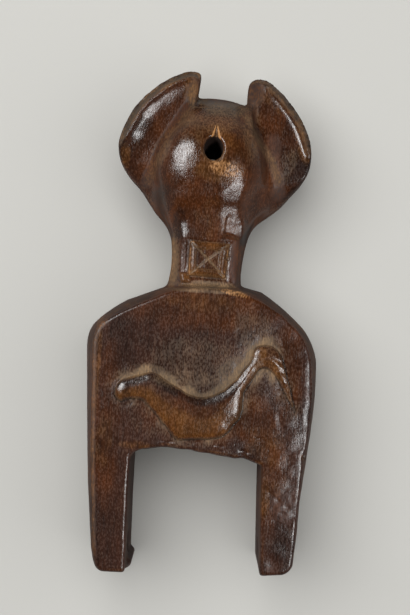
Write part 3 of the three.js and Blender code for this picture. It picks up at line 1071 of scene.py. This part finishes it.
# The first spot, on the right ear, is a painted highlight. The others are bare wood.
BARE_AND_HIGHLIGHT_SPOTS = [
    (16.7, 76.2, 1.2, 2.2, -15, 0.34), (9.8, 10.1, 6.0, 1.3, -12, 0.52), (4.5, 49.8, 6.5, 3.2, -15, 0.5),
]
print(len(WORN_SPOTS), "worn spots and", len(BARE_AND_HIGHLIGHT_SPOTS), "bare ones")

# %% Dusty and dark spots
DUSTY_SPOTS = [
    (4.5, 70, 9, 4, 0, 0.5), (1, 64.5, 10, 4, 0, 0.4), (-6, 61, 6, 5, 0, 0.3), (-7, 74, 1.6, 6, 0, 0.45),
    (12.5, 60, 2.5, 8, 12, 0.4), (1, 12.2, 9, 1.6, 0, 1.05), (1, 10.4, 13, 0.8, 0, 0.8),
    (1, -41.5, 14, 1.4, 0, 0.15), (24.5, 52, 3, 9, -25, 0.3), (-8, 66, 3, 4, 0, 0.5),
    (-4, -18, 12, 3.5, 0, 0.5), (2, -13, 20, 8, 0, 0.25), (17, -2, 9, 6, -35, 0.36),
    (9, -15, 8, 3.5, 45, 0.6), (-2, -11, 14, 7, 0, 0.34), (-20, -16, 6, 2.5, 10, 0.25),
    (-10.6, 19, 2.2, 9, 0, 0.75), (19, -15, 3, 4, 0, 0.3), (6, 76, 9, 2, 0, 0.4),
    (19, -21, 3.5, 7, 0, 0.2), (-15.5, 55, 2, 7, -20, 0.45), (-17, -34, 6, 3, -35, 0.15),
]
# Most dark spots are thick patina. Some are painted shade: the band on the left shoulder's bevel, and
# places on the ears, the nape and the right leg that would otherwise look lit.
DARK_SPOTS = [
    (-26.5, 52.3, 3, 6, 25, 0.8), (29.5, 52, 3, 7, -20, 0.8), (-9, 32, 2.5, 6, 0, 0.85),
    (-31, -38, 3.5, 7, 0, 0.5), (27, 62, 4, 12, 12, 0.7), (-24, 57, 4.5, 10, -20, 0.6),
    (-3, 36, 8, 10, 0, 0.4), (-5, 73, 3.5, 4, 0, 1.3), (-25, 5, 11, 2.4, 24, 0.7),
    (-22, -6, 9, 9, 0, 0.4), (27, 53, 4, 10, 10, 0.75), (3, 73.5, 12, 7, 0, 1.0),
    (30, -72, 4, 10, 0, 0.5),
    (-16, 38, 5, 10, -35, 0.7), (18, 37, 4, 9, 45, 0.4), (3, -6, 14, 5, 0, 0.3),
]
print(len(DUSTY_SPOTS), "dusty spots and", len(DARK_SPOTS), "dark ones")

# %% Warm, glossy and matte spots
WARM_SPOTS = [
    (1, 50, 30, 32, 0, 1.0), (0, 5, 26, 8, 0, 0.8), (-29, -36, 5, 26, 0, 0.6), (0, -30, 18, 9, 0, 0.8),
    (24, -50, 5, 22, 0, 0.7), (28, -15, 6, 16, 0, 0.7), (19, -31, 8, 9, 0, 0.9), (0, 20, 14, 12, 0, 0.6),
]
GLOSSY_SPOTS = [
    (-7, 53, 8, 12, 0, 1.0), (8, 45, 7, 12, 0, 1.0), (-23, 62, 7, 15, -30, 1.0),
    (27, 64, 6, 12, 30, 0.9), (30, -45, 4, 28, 0, 0.5), (12, -26, 5, 12, -30, 1.0),
    (27, -14, 6, 12, 15, 0.9), (-24, -21, 4, 4, 0, 0.9), (-9, 35, 3, 7, 0, 1.0),
    (27, -17, 4, 9, 15, 1.0),
]
MATTE_SPOTS = [
    (22.6, 43.5, 2.6, 2.6, 0, 0.5), (7.5, 32, 4, 6, 0, 0.08), (10.5, 21, 2.2, 8, 0, 0.7),
    (20, 58, 3, 5, 0, 0.3), (29, -57, 5, 6, 0, 0.15), (-6.8, 75, 2.2, 5, -8, 0.7),
    (13.4, 77, 2.6, 4.5, 0, 0.8), (10.6, 70, 3, 6, 0, 0.8),
]
print(len(WARM_SPOTS), "warm,", len(GLOSSY_SPOTS), "glossy and", len(MATTE_SPOTS), "matte spots")

# %% [markdown]
# ## Marks that follow the carving
# Dust, wear and painted shade also follow the carved lines. The ground around the bird is grey with
# dust, more so above it, and its breast is polished. A painted shadow darkens its lower outline and
# painted shade a band inside its back. Round the amulet a painted shadow fills the ditch, and painted
# highlights lie on two of its sides. These marks are read from the same outlines that the carving was
# cut with, so they can't slip off it when a line is moved.

# %% Marks around the bird
bird_away = line_distance(BIRD, px, py, closed=True)
on_bird = fade(0.6, -1.2, bird_away) * on_plate
above_bird = fade(-1.5, 1.5, py - BIRD_SPINE(px))
beak = on_bird * fade(19.0, 23, px) * fade(-6.5, -9.5, py)
# A painted shadow line along the bird's lower outline.
shadow_under_bird = fade(0.55, 0.1, np.abs(bird_away - 0.15)) * (1 - above_bird) * on_plate
# Painted shade in a band just inside the bird's upper back edge, which faces away from the lamps.
back_shade = fade(0.1, -0.5, bird_away) * fade(-4.0, -1.8, bird_away)
back_shade = back_shade * above_bird * on_plate * fade(16, 8, px)

close_by = 0.55 * fade(1.2, 0.1, np.abs(bird_away - 0.4)) * above_bird
close_by = close_by * (0.3 + 0.7 * fade(-15, -20, py))
less_below = 1 - 0.65 * (1 - above_bird) * fade(24, 14, px)
uneven = 0.85 + 0.35 * slow_waves(px, py, pz, 5, seed=31)
halo = uneven * (close_by + 1.25 * fade(4.5, 0.4, bird_away) * less_below)
halo = halo * on_plate * (1 - on_bird)
halo = halo * (1 - 0.75 * fade(22, 27, px)) * (1 - 0.5 * fade(-22, -30, px))
print("the bird's halo of dust is at most", round(float(halo.max()), 2))

# %% Marks on the amulet
amulet_away = line_distance(AMULET, px, py, closed=True)
amulet_middle = line_distance(AMULET_MIDDLE, px, py, closed=True)
high_up = fade(31, 32.5, pz)
on_amulet = fade(0.1, -0.3, amulet_away) * high_up
# Painted shadow in the narrow ditch just outside the amulet.
amulet_ditch_shade = fade(0.6, 0.15, np.abs(amulet_away - 0.25)) * high_up
# The sunk middle, which the dark mark gives a little painted shade.
in_middle = fade(0.1, -0.3, amulet_middle) * on_amulet
# Painted highlights on the amulet's left and right sides, laid on as ochre.
amulet_side_highlights = 0.5 + 0.2 * slow_waves(px, py, 0, 4, seed=17)
amulet_side_highlights = amulet_side_highlights * fade(0.35, 0.1, np.abs(amulet_away + 0.55))
amulet_side_highlights = amulet_side_highlights * fade(4.3, 5.2, np.abs(px - 1)) * on_amulet
on_tab = fade(2.0, 1.2, from_tab(px, py)) * on_back
in_groove = np.zeros(len(points))
for groove in AMULET_GROOVES:
    in_groove = np.maximum(in_groove, fade(0.65, 0.2, line_distance(groove, px, py)) * on_amulet)
print(int(np.sum(on_amulet > 0.5)), "points on the amulet,", int(np.sum(in_groove > 0.5)), "in its grooves")

# %% Marks on the ears, and the worn edge with its painted highlight
LEFT_VALLEY = outline((-19.6, 45.6), (-17, 51.4), (-14.8, 56.3), (-12.7, 61.3), (-10.4, 63.8), (-7, 66))
RIGHT_VALLEY = outline((22.5, 47.7), (20.8, 52.4), (17.7, 57), (14.6, 61.2), (11.5, 67.2))
LEFT_CREASE = outline((-21, 45), (-18.1, 51.7), (-15.8, 58), (-12, 64.1), (-8.2, 70.4))

ear_rims = np.minimum(line_distance(LEFT_RIM, px, py), line_distance(RIGHT_RIM, px, py))
# The ears' steep outer sides, which the dark mark gives painted shade.
ear_side = fade(24, 28, pz) * fade(2.0, 1.2, ear_rims)
valley = 0.4 * fade(2.8, 0.8, line_distance(LEFT_VALLEY, px + 0.4, py))
valley = np.maximum(valley, 0.6 * fade(2.6, 0.5, line_distance(RIGHT_VALLEY, px, py))) * on_back
left_crease = line_distance(LEFT_CREASE, px, py)
# The left edge of the back is worn, and this line also paints its highlight in orange and ochre.
edge_wear_and_highlight = fade(1.0, 0.3, np.abs(line_distance(BACK_EDGE, px, py, closed=True) + 0.8))
edge_wear_and_highlight = edge_wear_and_highlight * fade(-29, -32, px) * fade(34, 36, pz)
print(int(np.sum(valley > 0.3)), "points in the valleys between head and ears")


# %% Marks in and around the cord hole
def from_hole(middle_y):
    """How far each point lies from the middle of the cord hole, across the hole."""
    return np.hypot(px - HOLE_X, (py - middle_y) * 0.89)


hole_rim = fade(1.5, 0.4, np.abs(from_hole(HOLE_Y) - 3.5)) * fade(57.5, 55, py) * on_back
# Deep inside the cord hole, which the dark mark fills with painted shade.
in_hole = fade(4.1, 3.5, from_hole(hole_middle_y(pz))) * fade(36.8, 35.6, pz) * fade(4, 8, pz)
notch_side = beside_notch(px, py)
notch_wall = notch_side - 1.5 * np.clip((64.9 - py) / 5, 0, 1)
notch_floor = notch_side - 0.55 * np.clip((63.0 - py) / 3.2, 0, 1)
in_notch = fade(0.2, -0.1, notch_wall) * fade(0.1, 0.35, notch_floor)
in_notch = in_notch * fade(58.8, 59.4, py) * fade(64.8, 64.2, py) * fade(32, 33, pz)
print(int(np.sum(in_hole > 0.5)), "points in the hole,", int(np.sum(in_notch > 0.5)), "in its notch")

# %% [markdown]
# ## Keeping the marks on the mesh
# Each mark is the strongest of its causes, so two weak ones never add up to a blot. Nothing is dusty,
# worn or bare deep inside the cord hole, which gets painted shade instead.

# %% Put the marks together
worn_bird = on_bird * (1 - back_shade) * (0.9 - 0.45 * above_bird)
marks = {
    "worn": strongest(
        patches(px, py, WORN_SPOTS) * on_back, worn_bird, (0.95 - 0.45 * in_middle) * on_amulet,
        0.45 * steep * on_back, on_tab, edge_wear_and_highlight,
    ),
    "dust": strongest(
        0.5 * deep, 0.2 * beak, patches(px, py, DUSTY_SPOTS) * on_back, halo, 0.78 * in_groove,
        0.15 * ear_side * fade(50, 62, py), 0.4 * hole_rim, valley,
    ),
    "warm": patches(px, py, WARM_SPOTS),
    # The dark mark is thick patina and painted shade: along the bird's back and lower outline, in the cord
    # hole, in the amulet's ditch and sunk middle, on steep faces, on the ears' outer sides and on the wood
    # away from the back.
    "dark": strongest(
        patches(px, py, DARK_SPOTS) * on_back, 0.4 * (1 - on_back), 0.75 * back_shade, 1.6 * in_hole,
        0.45 * amulet_ditch_shade, 0.2 * in_middle, 0.12 * steep, 0.9 * shadow_under_bird, 0.95 * ear_side,
    ),
    "gloss": np.maximum(patches(px, py, GLOSSY_SPOTS), edge) * (1 - 0.8 * deep) * (1 - in_hole),
    # Bare wood, and painted highlights on the amulet's sides, the right ear and the left edge.
    "bare_and_highlight": strongest(
        patches(px, py, BARE_AND_HIGHLIGHT_SPOTS) * fade(28, 33, pz), in_notch, amulet_side_highlights, 0.3 * edge_wear_and_highlight,
    ),
    "edge": edge,
    "matte": strongest(
        steep, 0.35 * edge_wear_and_highlight, 0.9 * valley, 0.9 * fade(2.4, 1.2, left_crease) * on_back,
        patches(px, py, MATTE_SPOTS),
    ),
}
marks["dust"] = marks["dust"] * (1 - on_tab)
for name in ("worn", "dust", "bare_and_highlight"):
    marks[name] = marks[name] * (1 - in_hole)
print("the marks are", ", ".join(marks))


# %% Keep the marks on the mesh
def keep_on_mesh(name, amount):
    """Stores one number for each point of the mesh."""
    layer = mesh.attributes.new(name, "FLOAT", "POINT")
    layer.data.foreach_set("value", amount.astype(np.float32))


for name, amount in marks.items():
    keep_on_mesh(name, amount)
    print(name, "covers", round(100 * float(np.mean(amount > 0.5)), 1), "% of the points")

# %% [markdown]
# ## Knife facets
# No hand-carved surface is truly smooth: each stroke leaves a nearly flat facet a few millimetres wide
# that meets the next along a soft line. Geometry Nodes suits this, because it can follow any surface.
# Points are scattered over the wood, each with a slightly tilted plane, and the wood nearest to a
# point moves onto that plane. A mask keeps the facets off the crisp details.

# %% Keep the facets off the crisp details
crisp = strongest(
    fade(1.8, 0.6, np.abs(bird_away)) * on_plate,
    fade(2.5, 1.0, amulet_away) * on_back,
    fade(6.5, 4.5, np.hypot(px - HOLE_X, py - HOLE_Y - 1)) * on_back,
    ear_side,
    0.6 * edge,
)
keep_on_mesh("facets", 1 - crisp)
print("facets may show on", round(100 * float(np.mean(crisp < 0.5))), "% of the points")

# %% The tree and its inputs
knife = bpy.data.node_groups.new("knife_facets", "GeometryNodeTree")
knife.interface.new_socket("Geometry", in_out="INPUT", socket_type="NodeSocketGeometry")
for name, kind in (("Facet Width", "Float"), ("Tilt", "Float"), ("Most Depth", "Float"), ("Seed", "Int")):
    knife.interface.new_socket(name, in_out="INPUT", socket_type="NodeSocket" + kind)
knife.interface.new_socket("Wood", in_out="INPUT", socket_type="NodeSocketMaterial")
knife.interface.new_socket("Geometry", in_out="OUTPUT", socket_type="NodeSocketGeometry")


def knife_node(kind, feeds, **settings):
    """Adds a node, with a link or a value for each input named, and gives back its outputs."""
    node = knife.nodes.new(kind)
    for name, choice in settings.items():
        setattr(node, name, choice)
    for name, source in feeds.items():
        if isinstance(source, bpy.types.NodeSocket):
            knife.links.new(source, node.inputs[name])
        else:
            node.inputs[name].default_value = source
    return node.outputs


def vector_sum(operation, **feeds):
    """One sum on vectors, with the inputs first, second and scale."""
    names = {"first": 0, "second": 1, "scale": "Scale"}
    named = {names[name]: source for name, source in feeds.items()}
    return knife_node("ShaderNodeVectorMath", named, operation=operation)


def number_times(first, second):
    """Two numbers multiplied, either of them a socket or a plain value."""
    return knife_node("ShaderNodeMath", {0: first, 1: second}, operation="MULTIPLY")[0]


given = knife_node("NodeGroupInput", {})
print("the knife's inputs are", ", ".join(socket.name for socket in given if socket.name))

# %% Scatter the tilted planes
DENSEST = 200000
scatter = knife_node(
    "GeometryNodeDistributePointsOnFaces",
    {"Mesh": given["Geometry"], "Distance Min": given["Facet Width"], "Density Max": DENSEST,
     "Seed": given["Seed"]},
    distribute_method="POISSON",
)
lean = knife_node(
    "FunctionNodeRandomValue", {0: (-1, -1, -1), 1: (1, 1, 1), "Seed": given["Seed"]},
    data_type="FLOAT_VECTOR",
)
scaled = vector_sum("SCALE", first=lean[0], scale=given["Tilt"])
tilted = vector_sum("ADD", first=scatter["Normal"], second=scaled[0])
planes = knife_node(
    "GeometryNodeStoreNamedAttribute",
    {"Geometry": scatter["Points"], "Name": "facing", "Value": tilted[0]},
    data_type="FLOAT_VECTOR", domain="POINT",
)["Geometry"]
print(len(knife.nodes), "nodes scatter the planes")

# %% Find the height above the nearest plane
nearest = knife_node("GeometryNodeSampleNearest", {"Geometry": planes}, domain="POINT")["Index"]
place = knife_node("GeometryNodeInputPosition", {})[0]
facing = knife_node("GeometryNodeInputNamedAttribute", {"Name": "facing"}, data_type="FLOAT_VECTOR")[0]


def at_nearest(source):
    """What the nearest scattered point has there."""
    feeds = {"Geometry": planes, "Value": source, "Index": nearest}
    return knife_node("GeometryNodeSampleIndex", feeds, data_type="FLOAT_VECTOR", domain="POINT")[0]


away = vector_sum("SUBTRACT", first=place, second=at_nearest(place))
height = vector_sum("DOT_PRODUCT", first=away[0], second=at_nearest(facing))["Value"]
print(len(knife.nodes), "nodes with those that find the height")

# %% Move the wood onto its nearest plane
BLUR_ROUNDS = 3
most = given["Most Depth"]
limits = {"Value": height, "Min": number_times(most, -1), "Max": most}
limited = knife_node("ShaderNodeClamp", limits)[0]
blur = {0: limited, "Iterations": BLUR_ROUNDS}
softened = knife_node("GeometryNodeBlurAttribute", blur, data_type="FLOAT")[0]
mask = knife_node("GeometryNodeInputNamedAttribute", {"Name": "facets"}, data_type="FLOAT")[0]
inward = number_times(number_times(softened, mask), -1)
normal = knife_node("GeometryNodeInputNormal", {})[0]
push = vector_sum("SCALE", first=normal, scale=inward)[0]
cut = knife_node("GeometryNodeSetPosition", {"Geometry": given["Geometry"], "Offset": push})[0]
real = knife_node("GeometryNodeRealizeInstances", {"Geometry": cut})[0]
stained = knife_node("GeometryNodeSetMaterial", {"Geometry": real, "Material": given["Wood"]})[0]
knife_node("NodeGroupOutput", {"Geometry": stained})
print(len(knife.nodes), "nodes and", len(knife.links), "links in the tree")

# %% Run the tree over the pulley
wood = bpy.data.materials.new("patinated_wood")
carve = pulley.modifiers.new("knife_facets", "NODES")
carve.node_group = knife
choices = {
    "Facet Width": 3.2 * MM,
    "Tilt": 0.02,
    "Most Depth": 0.06 * MM,
    "Seed": 11,
    "Wood": wood,
}
for socket in knife.interface.items_tree:
    if socket.in_out == "INPUT" and socket.name in choices:
        carve[socket.identifier] = choices[socket.name]
evaluated = pulley.evaluated_get(bpy.context.evaluated_depsgraph_get())
faceted = bpy.data.meshes.new_from_object(evaluated)
faceted.name = "carved_pulley"
pulley.modifiers.remove(carve)
pulley.data = faceted

cut_points = np.zeros(3 * len(points), np.float32)
faceted.vertices.foreach_get("co", cut_points)
shift = np.linalg.norm(cut_points.reshape(-1, 3) / MM - points, axis=1)
print("facets move the surface by up to", round(float(shift.max()), 2), "mm")

# %% [markdown]
# ## Patinated wood
# The wood is dark from years of handling. Purplish brown turns to red brown where it is warm, to
# orange brown where hands have thinned the patina, to dark brown where the patina is thick and where
# shade is painted, and to ochre where the wood is bare and where highlights are painted. Fibres run
# along the pulley. Dust is pale, grey and matte. The masks from the mesh are broken up with noise, so
# no patch has a clean border, and the gloss is broken by small pores, as on real worn wood. Nothing
# is a picture, so the wood stays crisp close up, and a few small helpers keep the node work short.

# %% The wood's shader
SPECULAR_LEVEL = 0.5
wood.use_nodes = True
wood_nodes = wood.node_tree.nodes
wood_links = wood.node_tree.links
shader = wood_nodes["Principled BSDF"]
shader.inputs["Specular IOR Level"].default_value = SPECULAR_LEVEL
coordinates = wood_nodes.new("ShaderNodeTexCoord")


def feed(socket, source):
    """Links a node's output to a socket, or sets the socket to a number or colour."""
    if isinstance(source, bpy.types.NodeSocket):
        wood_links.new(source, socket)
    else:
        socket.default_value = source


def noise(size_mm, detail=2.0, stretch=1.0, shift=0.0):
    """Noise with features about that many millimetres across, drawn out along the grain."""
    mapping = wood_nodes.new("ShaderNodeMapping")
    scale = 1 / (size_mm * MM)
    mapping.inputs["Scale"].default_value = (scale, scale / stretch, scale)
    mapping.inputs["Location"].default_value = (shift, shift * 2, shift * 3)
    wood_links.new(coordinates.outputs["Object"], mapping.inputs["Vector"])
    texture = wood_nodes.new("ShaderNodeTexNoise")
    texture.inputs["Scale"].default_value = 1.0
    texture.inputs["Detail"].default_value = detail
    wood_links.new(mapping.outputs["Vector"], texture.inputs["Vector"])
    return texture.outputs["Fac"]


print(wood.name, "starts with", len(wood_nodes), "nodes")


# %% Sums, ramps, marks and blends
def work_out(operation, a, b=0.0, c=0.0):
    """One sum on up to three sockets or numbers."""
    node = wood_nodes.new("ShaderNodeMath")
    node.operation = operation
    for socket, source in zip(node.inputs, (a, b, c)):
        feed(socket, source)
    return node.outputs["Value"]


def ramp(source, low, high, start=0.0, end=1.0):
    """A smooth step from start to end while the source goes from low to high."""
    node = wood_nodes.new("ShaderNodeMapRange")
    node.interpolation_type = "SMOOTHSTEP"
    feed(node.inputs["Value"], source)
    for name, number in (("From Min", low), ("From Max", high), ("To Min", start), ("To Max", end)):
        node.inputs[name].default_value = number
    return node.outputs["Result"]


def mark(name):
    """One of the marks that the mesh carries."""
    node = wood_nodes.new("ShaderNodeAttribute")
    node.attribute_name = name
    return node.outputs["Fac"]


def blend(amount, below, above):
    """One colour laid over another. Sockets 0, 6 and 7 are the node's factor and its two colours."""
    node = wood_nodes.new("ShaderNodeMix")
    node.data_type = "RGBA"
    feed(node.inputs[0], amount)
    feed(node.inputs[6], below)
    feed(node.inputs[7], above)
    return node.outputs[2]


print("the marks that the wood can read are", ", ".join(marks))

# %% Colours and patterns
PURPLE_BROWN = (0.040, 0.0150, 0.0085, 1)
RED_BROWN = (0.062, 0.0170, 0.0035, 1)
DARK_BROWN = (0.012, 0.0045, 0.0025, 1)
ORANGE_BROWN = (0.125, 0.048, 0.011, 1)
OCHRE = (0.55, 0.27, 0.10, 1)
DUST = (0.225, 0.142, 0.070, 1)
CLOUD_SIZE = 14
PORE_SIZE = 0.34

clouds = noise(CLOUD_SIZE, detail=3)
mottle = noise(3.2, detail=3, stretch=1.4, shift=5)
speckle = noise(0.45, detail=2, stretch=2.2, shift=9)
pores = noise(PORE_SIZE, detail=1, stretch=1.5, shift=3)
fibres = noise(0.45, detail=3, stretch=14, shift=7)
print("the wood has five patterns, from", PORE_SIZE, "to", CLOUD_SIZE, "mm")

# %% Patina and painted shade, from purple brown to orange brown
warmth = work_out("ADD", mark("warm"), work_out("MULTIPLY_ADD", clouds, 1.2, -0.6))
colour = blend(ramp(warmth, 0.1, 0.9), PURPLE_BROWN, RED_BROWN)
dark_amount = work_out("ADD", mark("dark"), work_out("MULTIPLY_ADD", mottle, 0.7, -0.38))
# Dark brown for thick patina and for painted shade.
colour = blend(ramp(dark_amount, 0.1, 0.9, 0, 0.75), colour, DARK_BROWN)
worn_amount = work_out("ADD", mark("worn"), work_out("MULTIPLY_ADD", mottle, 0.9, -0.6))
worn_amount = work_out("ADD", worn_amount, work_out("MULTIPLY_ADD", speckle, 0.6, -0.3))
colour = blend(ramp(worn_amount, 0.05, 1.1, 0, 0.85), colour, ORANGE_BROWN)
worn_edge = work_out("MULTIPLY", mark("edge"), ramp(mottle, 0.4, 0.62, 0, 0.75))
colour = blend(worn_edge, colour, ORANGE_BROWN)
print(len(wood_nodes), "nodes with the patina")

# %% Dust, grain, bare wood and painted highlights
dust_amount = work_out("ADD", mark("dust"), work_out("MULTIPLY_ADD", speckle, 0.9, -0.45))
dust_amount = work_out("ADD", dust_amount, work_out("MULTIPLY_ADD", mottle, 0.5, -0.25))
dusty = ramp(dust_amount, 0.0, 1.4, 0, 0.75)
colour = blend(dusty, colour, DUST)
grain = ramp(fibres, 0.3, 0.7, 0.78, 1.25)
fine = ramp(speckle, 0.32, 0.68, 0.78, 1.25)
cloudy = ramp(noise(7, detail=4, stretch=1.6, shift=2), 0.32, 0.68, 0.72, 1.3)
texture = work_out("MULTIPLY", work_out("MULTIPLY", grain, fine), cloudy)
shade = wood_nodes.new("ShaderNodeVectorMath")
shade.operation = "SCALE"
feed(shade.inputs[0], colour)
feed(shade.inputs["Scale"], texture)
colour = shade.outputs["Vector"]
# Ochre for bare wood and for painted highlights.
bare_and_highlight = ramp(work_out("ADD", mark("bare_and_highlight"), work_out("MULTIPLY_ADD", speckle, 0.8, -0.4)), 0.35, 0.75)
colour = blend(bare_and_highlight, colour, OCHRE)
feed(shader.inputs["Base Color"], colour)
print(len(wood_nodes), "nodes with the dust and the grain")

# %% Gloss and pores
roughness = ramp(mark("gloss"), 0, 1, 0.24, 0.2)
roughness = work_out("MULTIPLY_ADD", dusty, 0.45, roughness)
roughness = work_out("MULTIPLY_ADD", mark("matte"), 0.7, roughness)
roughness = work_out("ADD", roughness, ramp(speckle, 0.3, 0.7, -0.05, 0.08))
feed(shader.inputs["Roughness"], roughness)
PORE_STRENGTH = 0.8
PORE_DEPTH = 0.04 * MM
bump = wood_nodes.new("ShaderNodeBump")
bump.inputs["Strength"].default_value = PORE_STRENGTH
bump.inputs["Distance"].default_value = PORE_DEPTH
relief = work_out("MULTIPLY_ADD", fibres, 0.7, pores)
relief = work_out("MULTIPLY_ADD", speckle, 1.2, relief)
feed(bump.inputs["Height"], relief)
wood_links.new(bump.outputs["Normal"], shader.inputs["Normal"])
print(len(wood_nodes), "nodes in the wood")

# %% [markdown]
# ## The floor
# The pulley lies on a sheet of pale, matte paper. One large face is enough, because the paper runs past
# the picture on every side. It is part of the studio and not of the object.

# %% Floor
FLOOR_SIZE = 3.0
half = FLOOR_SIZE / 2
floor_corners = [(-half, -half, 0), (half, -half, 0), (half, half, 0), (-half, half, 0)]
floor_mesh = bpy.data.meshes.new("studio_floor")
floor_mesh.from_pydata(floor_corners, [], [(0, 1, 2, 3)])
floor = bpy.data.objects.new("studio_floor", floor_mesh)
bpy.context.scene.collection.objects.link(floor)
print("the floor is", FLOOR_SIZE, "m wide")

# %% Pale paper
PAPER_COLOUR = (0.47, 0.465, 0.44, 1)
paper = bpy.data.materials.new("pale_paper")
paper.use_nodes = True
paper_shader = paper.node_tree.nodes["Principled BSDF"]
paper_shader.inputs["Base Color"].default_value = PAPER_COLOUR
paper_shader.inputs["Roughness"].default_value = 0.9
paper_shader.inputs["Specular IOR Level"].default_value = 0.1
floor_mesh.materials.append(paper)
print("the paper reflects", round(100 * PAPER_COLOUR[1]), "% of the light")

# %% [markdown]
# ## Light
# Polished wood shows its shape by what it mirrors. A softbox up on the left gives the broad
# highlights and a weaker one on the right opens the shadows. Both are linked to the pulley alone. Two
# much larger lamps light only the floor, which keeps it even, and the pulley still throws its soft
# shadow there. The walls of the room are brighter low down, so the steep sides aren't black.

# %% Lamps
def softbox(name, aim, towards, distance, size, watts):
    """A rectangular lamp at a distance from its aim, turned to face it."""
    light = bpy.data.lights.new(name, "AREA")
    light.shape = "RECTANGLE"
    light.size, light.size_y = size
    light.energy = watts
    lamp = bpy.data.objects.new(name, light)
    bpy.context.scene.collection.objects.link(lamp)
    direction = Vector(towards).normalized()
    lamp.location = Vector(aim) + direction * distance
    lamp.rotation_euler = (-direction).to_track_quat("-Z", "Y").to_euler()
    return lamp


def shine_only_on(lamp, thing):
    """Lets a lamp light one thing alone, as flags and screens do in a studio."""
    chosen = bpy.data.collections.new("lit_by_" + lamp.name)
    chosen.objects.link(thing)
    lamp.light_linking.receiver_collection = chosen


PULLEY_AIM = (0, 0.01, 0.02)
FLOOR_AIM = (0, 0, 0)
key = softbox("key_softbox", PULLEY_AIM, (-0.48, 0.22, 0.84), 0.8, (0.29, 0.24), 4.1)
fill = softbox("fill_softbox", PULLEY_AIM, (0.42, -0.18, 0.87), 0.8, (0.2, 0.17), 2.1)
paper_lamp = softbox("paper_lamp", FLOOR_AIM, (-0.3, 0.3, 1), 1.2, (1.3, 1.3), 21.5)
paper_fill = softbox("paper_fill", FLOOR_AIM, (0.9, 0, 1), 1.2, (1.3, 1.3), 6.6)
for lamp, thing in ((key, pulley), (fill, pulley), (paper_lamp, floor), (paper_fill, floor)):
    shine_only_on(lamp, thing)
    print(lamp.name, "gives", round(lamp.data.energy, 1), "W to", thing.name)

# %% The room
LOW_WALLS = 0.33
CEILING = 0.03
world = bpy.data.worlds.new("room")
bpy.context.scene.world = world
world.use_nodes = True
room = world.node_tree
background = room.nodes["Background"]
background.inputs["Color"].default_value = (1.0, 0.99, 0.98, 1)
direction = room.nodes.new("ShaderNodeTexCoord")
height = room.nodes.new("ShaderNodeSeparateXYZ")
room.links.new(direction.outputs["Generated"], height.inputs["Vector"])
walls = room.nodes.new("ShaderNodeMapRange")
walls.interpolation_type = "SMOOTHSTEP"
walls.inputs["From Min"].default_value = 0.3
walls.inputs["From Max"].default_value = 0.75
walls.inputs["To Min"].default_value = LOW_WALLS
walls.inputs["To Max"].default_value = CEILING
room.links.new(height.outputs["Z"], walls.inputs["Value"])
room.links.new(walls.outputs["Result"], background.inputs["Strength"])
bpy.context.scene.view_settings.view_transform = "Standard"
print("the walls are", round(LOW_WALLS / CEILING), "times as bright as the ceiling")

# %% [markdown]
# ## Camera
# The camera looks straight down, turned by a few degrees. Its height is assumed. How much of the legs'
# inner sides it sees only ties its height to the depth of the wood, and almost half a metre goes with a
# body 38 mm deep. The height then gives the lens, because the picture's long side takes in a set length
# at the level of the carved back.

# %% Camera
CAMERA_HEIGHT = 0.458
CAMERA_XY = (0.000554, 0.004693)
CAMERA_TURN = 2.9
SENSOR_WIDTH = 36
PICTURE_LONG_SIDE = 0.1968
PLATE_DISTANCE = CAMERA_HEIGHT - BACK_Z * MM
camera_data = bpy.data.cameras.new("camera")
camera_data.sensor_width = SENSOR_WIDTH
camera_data.lens = SENSOR_WIDTH * PLATE_DISTANCE / PICTURE_LONG_SIDE
camera = bpy.data.objects.new("camera", camera_data)
bpy.context.scene.collection.objects.link(camera)
camera.location = (*CAMERA_XY, CAMERA_HEIGHT)
camera.rotation_euler = (0, 0, math.radians(CAMERA_TURN))
bpy.context.scene.camera = camera
print("the lens is", round(camera_data.lens, 1), "mm long")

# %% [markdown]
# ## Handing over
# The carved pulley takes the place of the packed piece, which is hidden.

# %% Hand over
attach(pulley, "root")
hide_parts("heddle_pulley")
print(pulley.name, "replaces the packed piece and wears", pulley.data.materials[0].name)
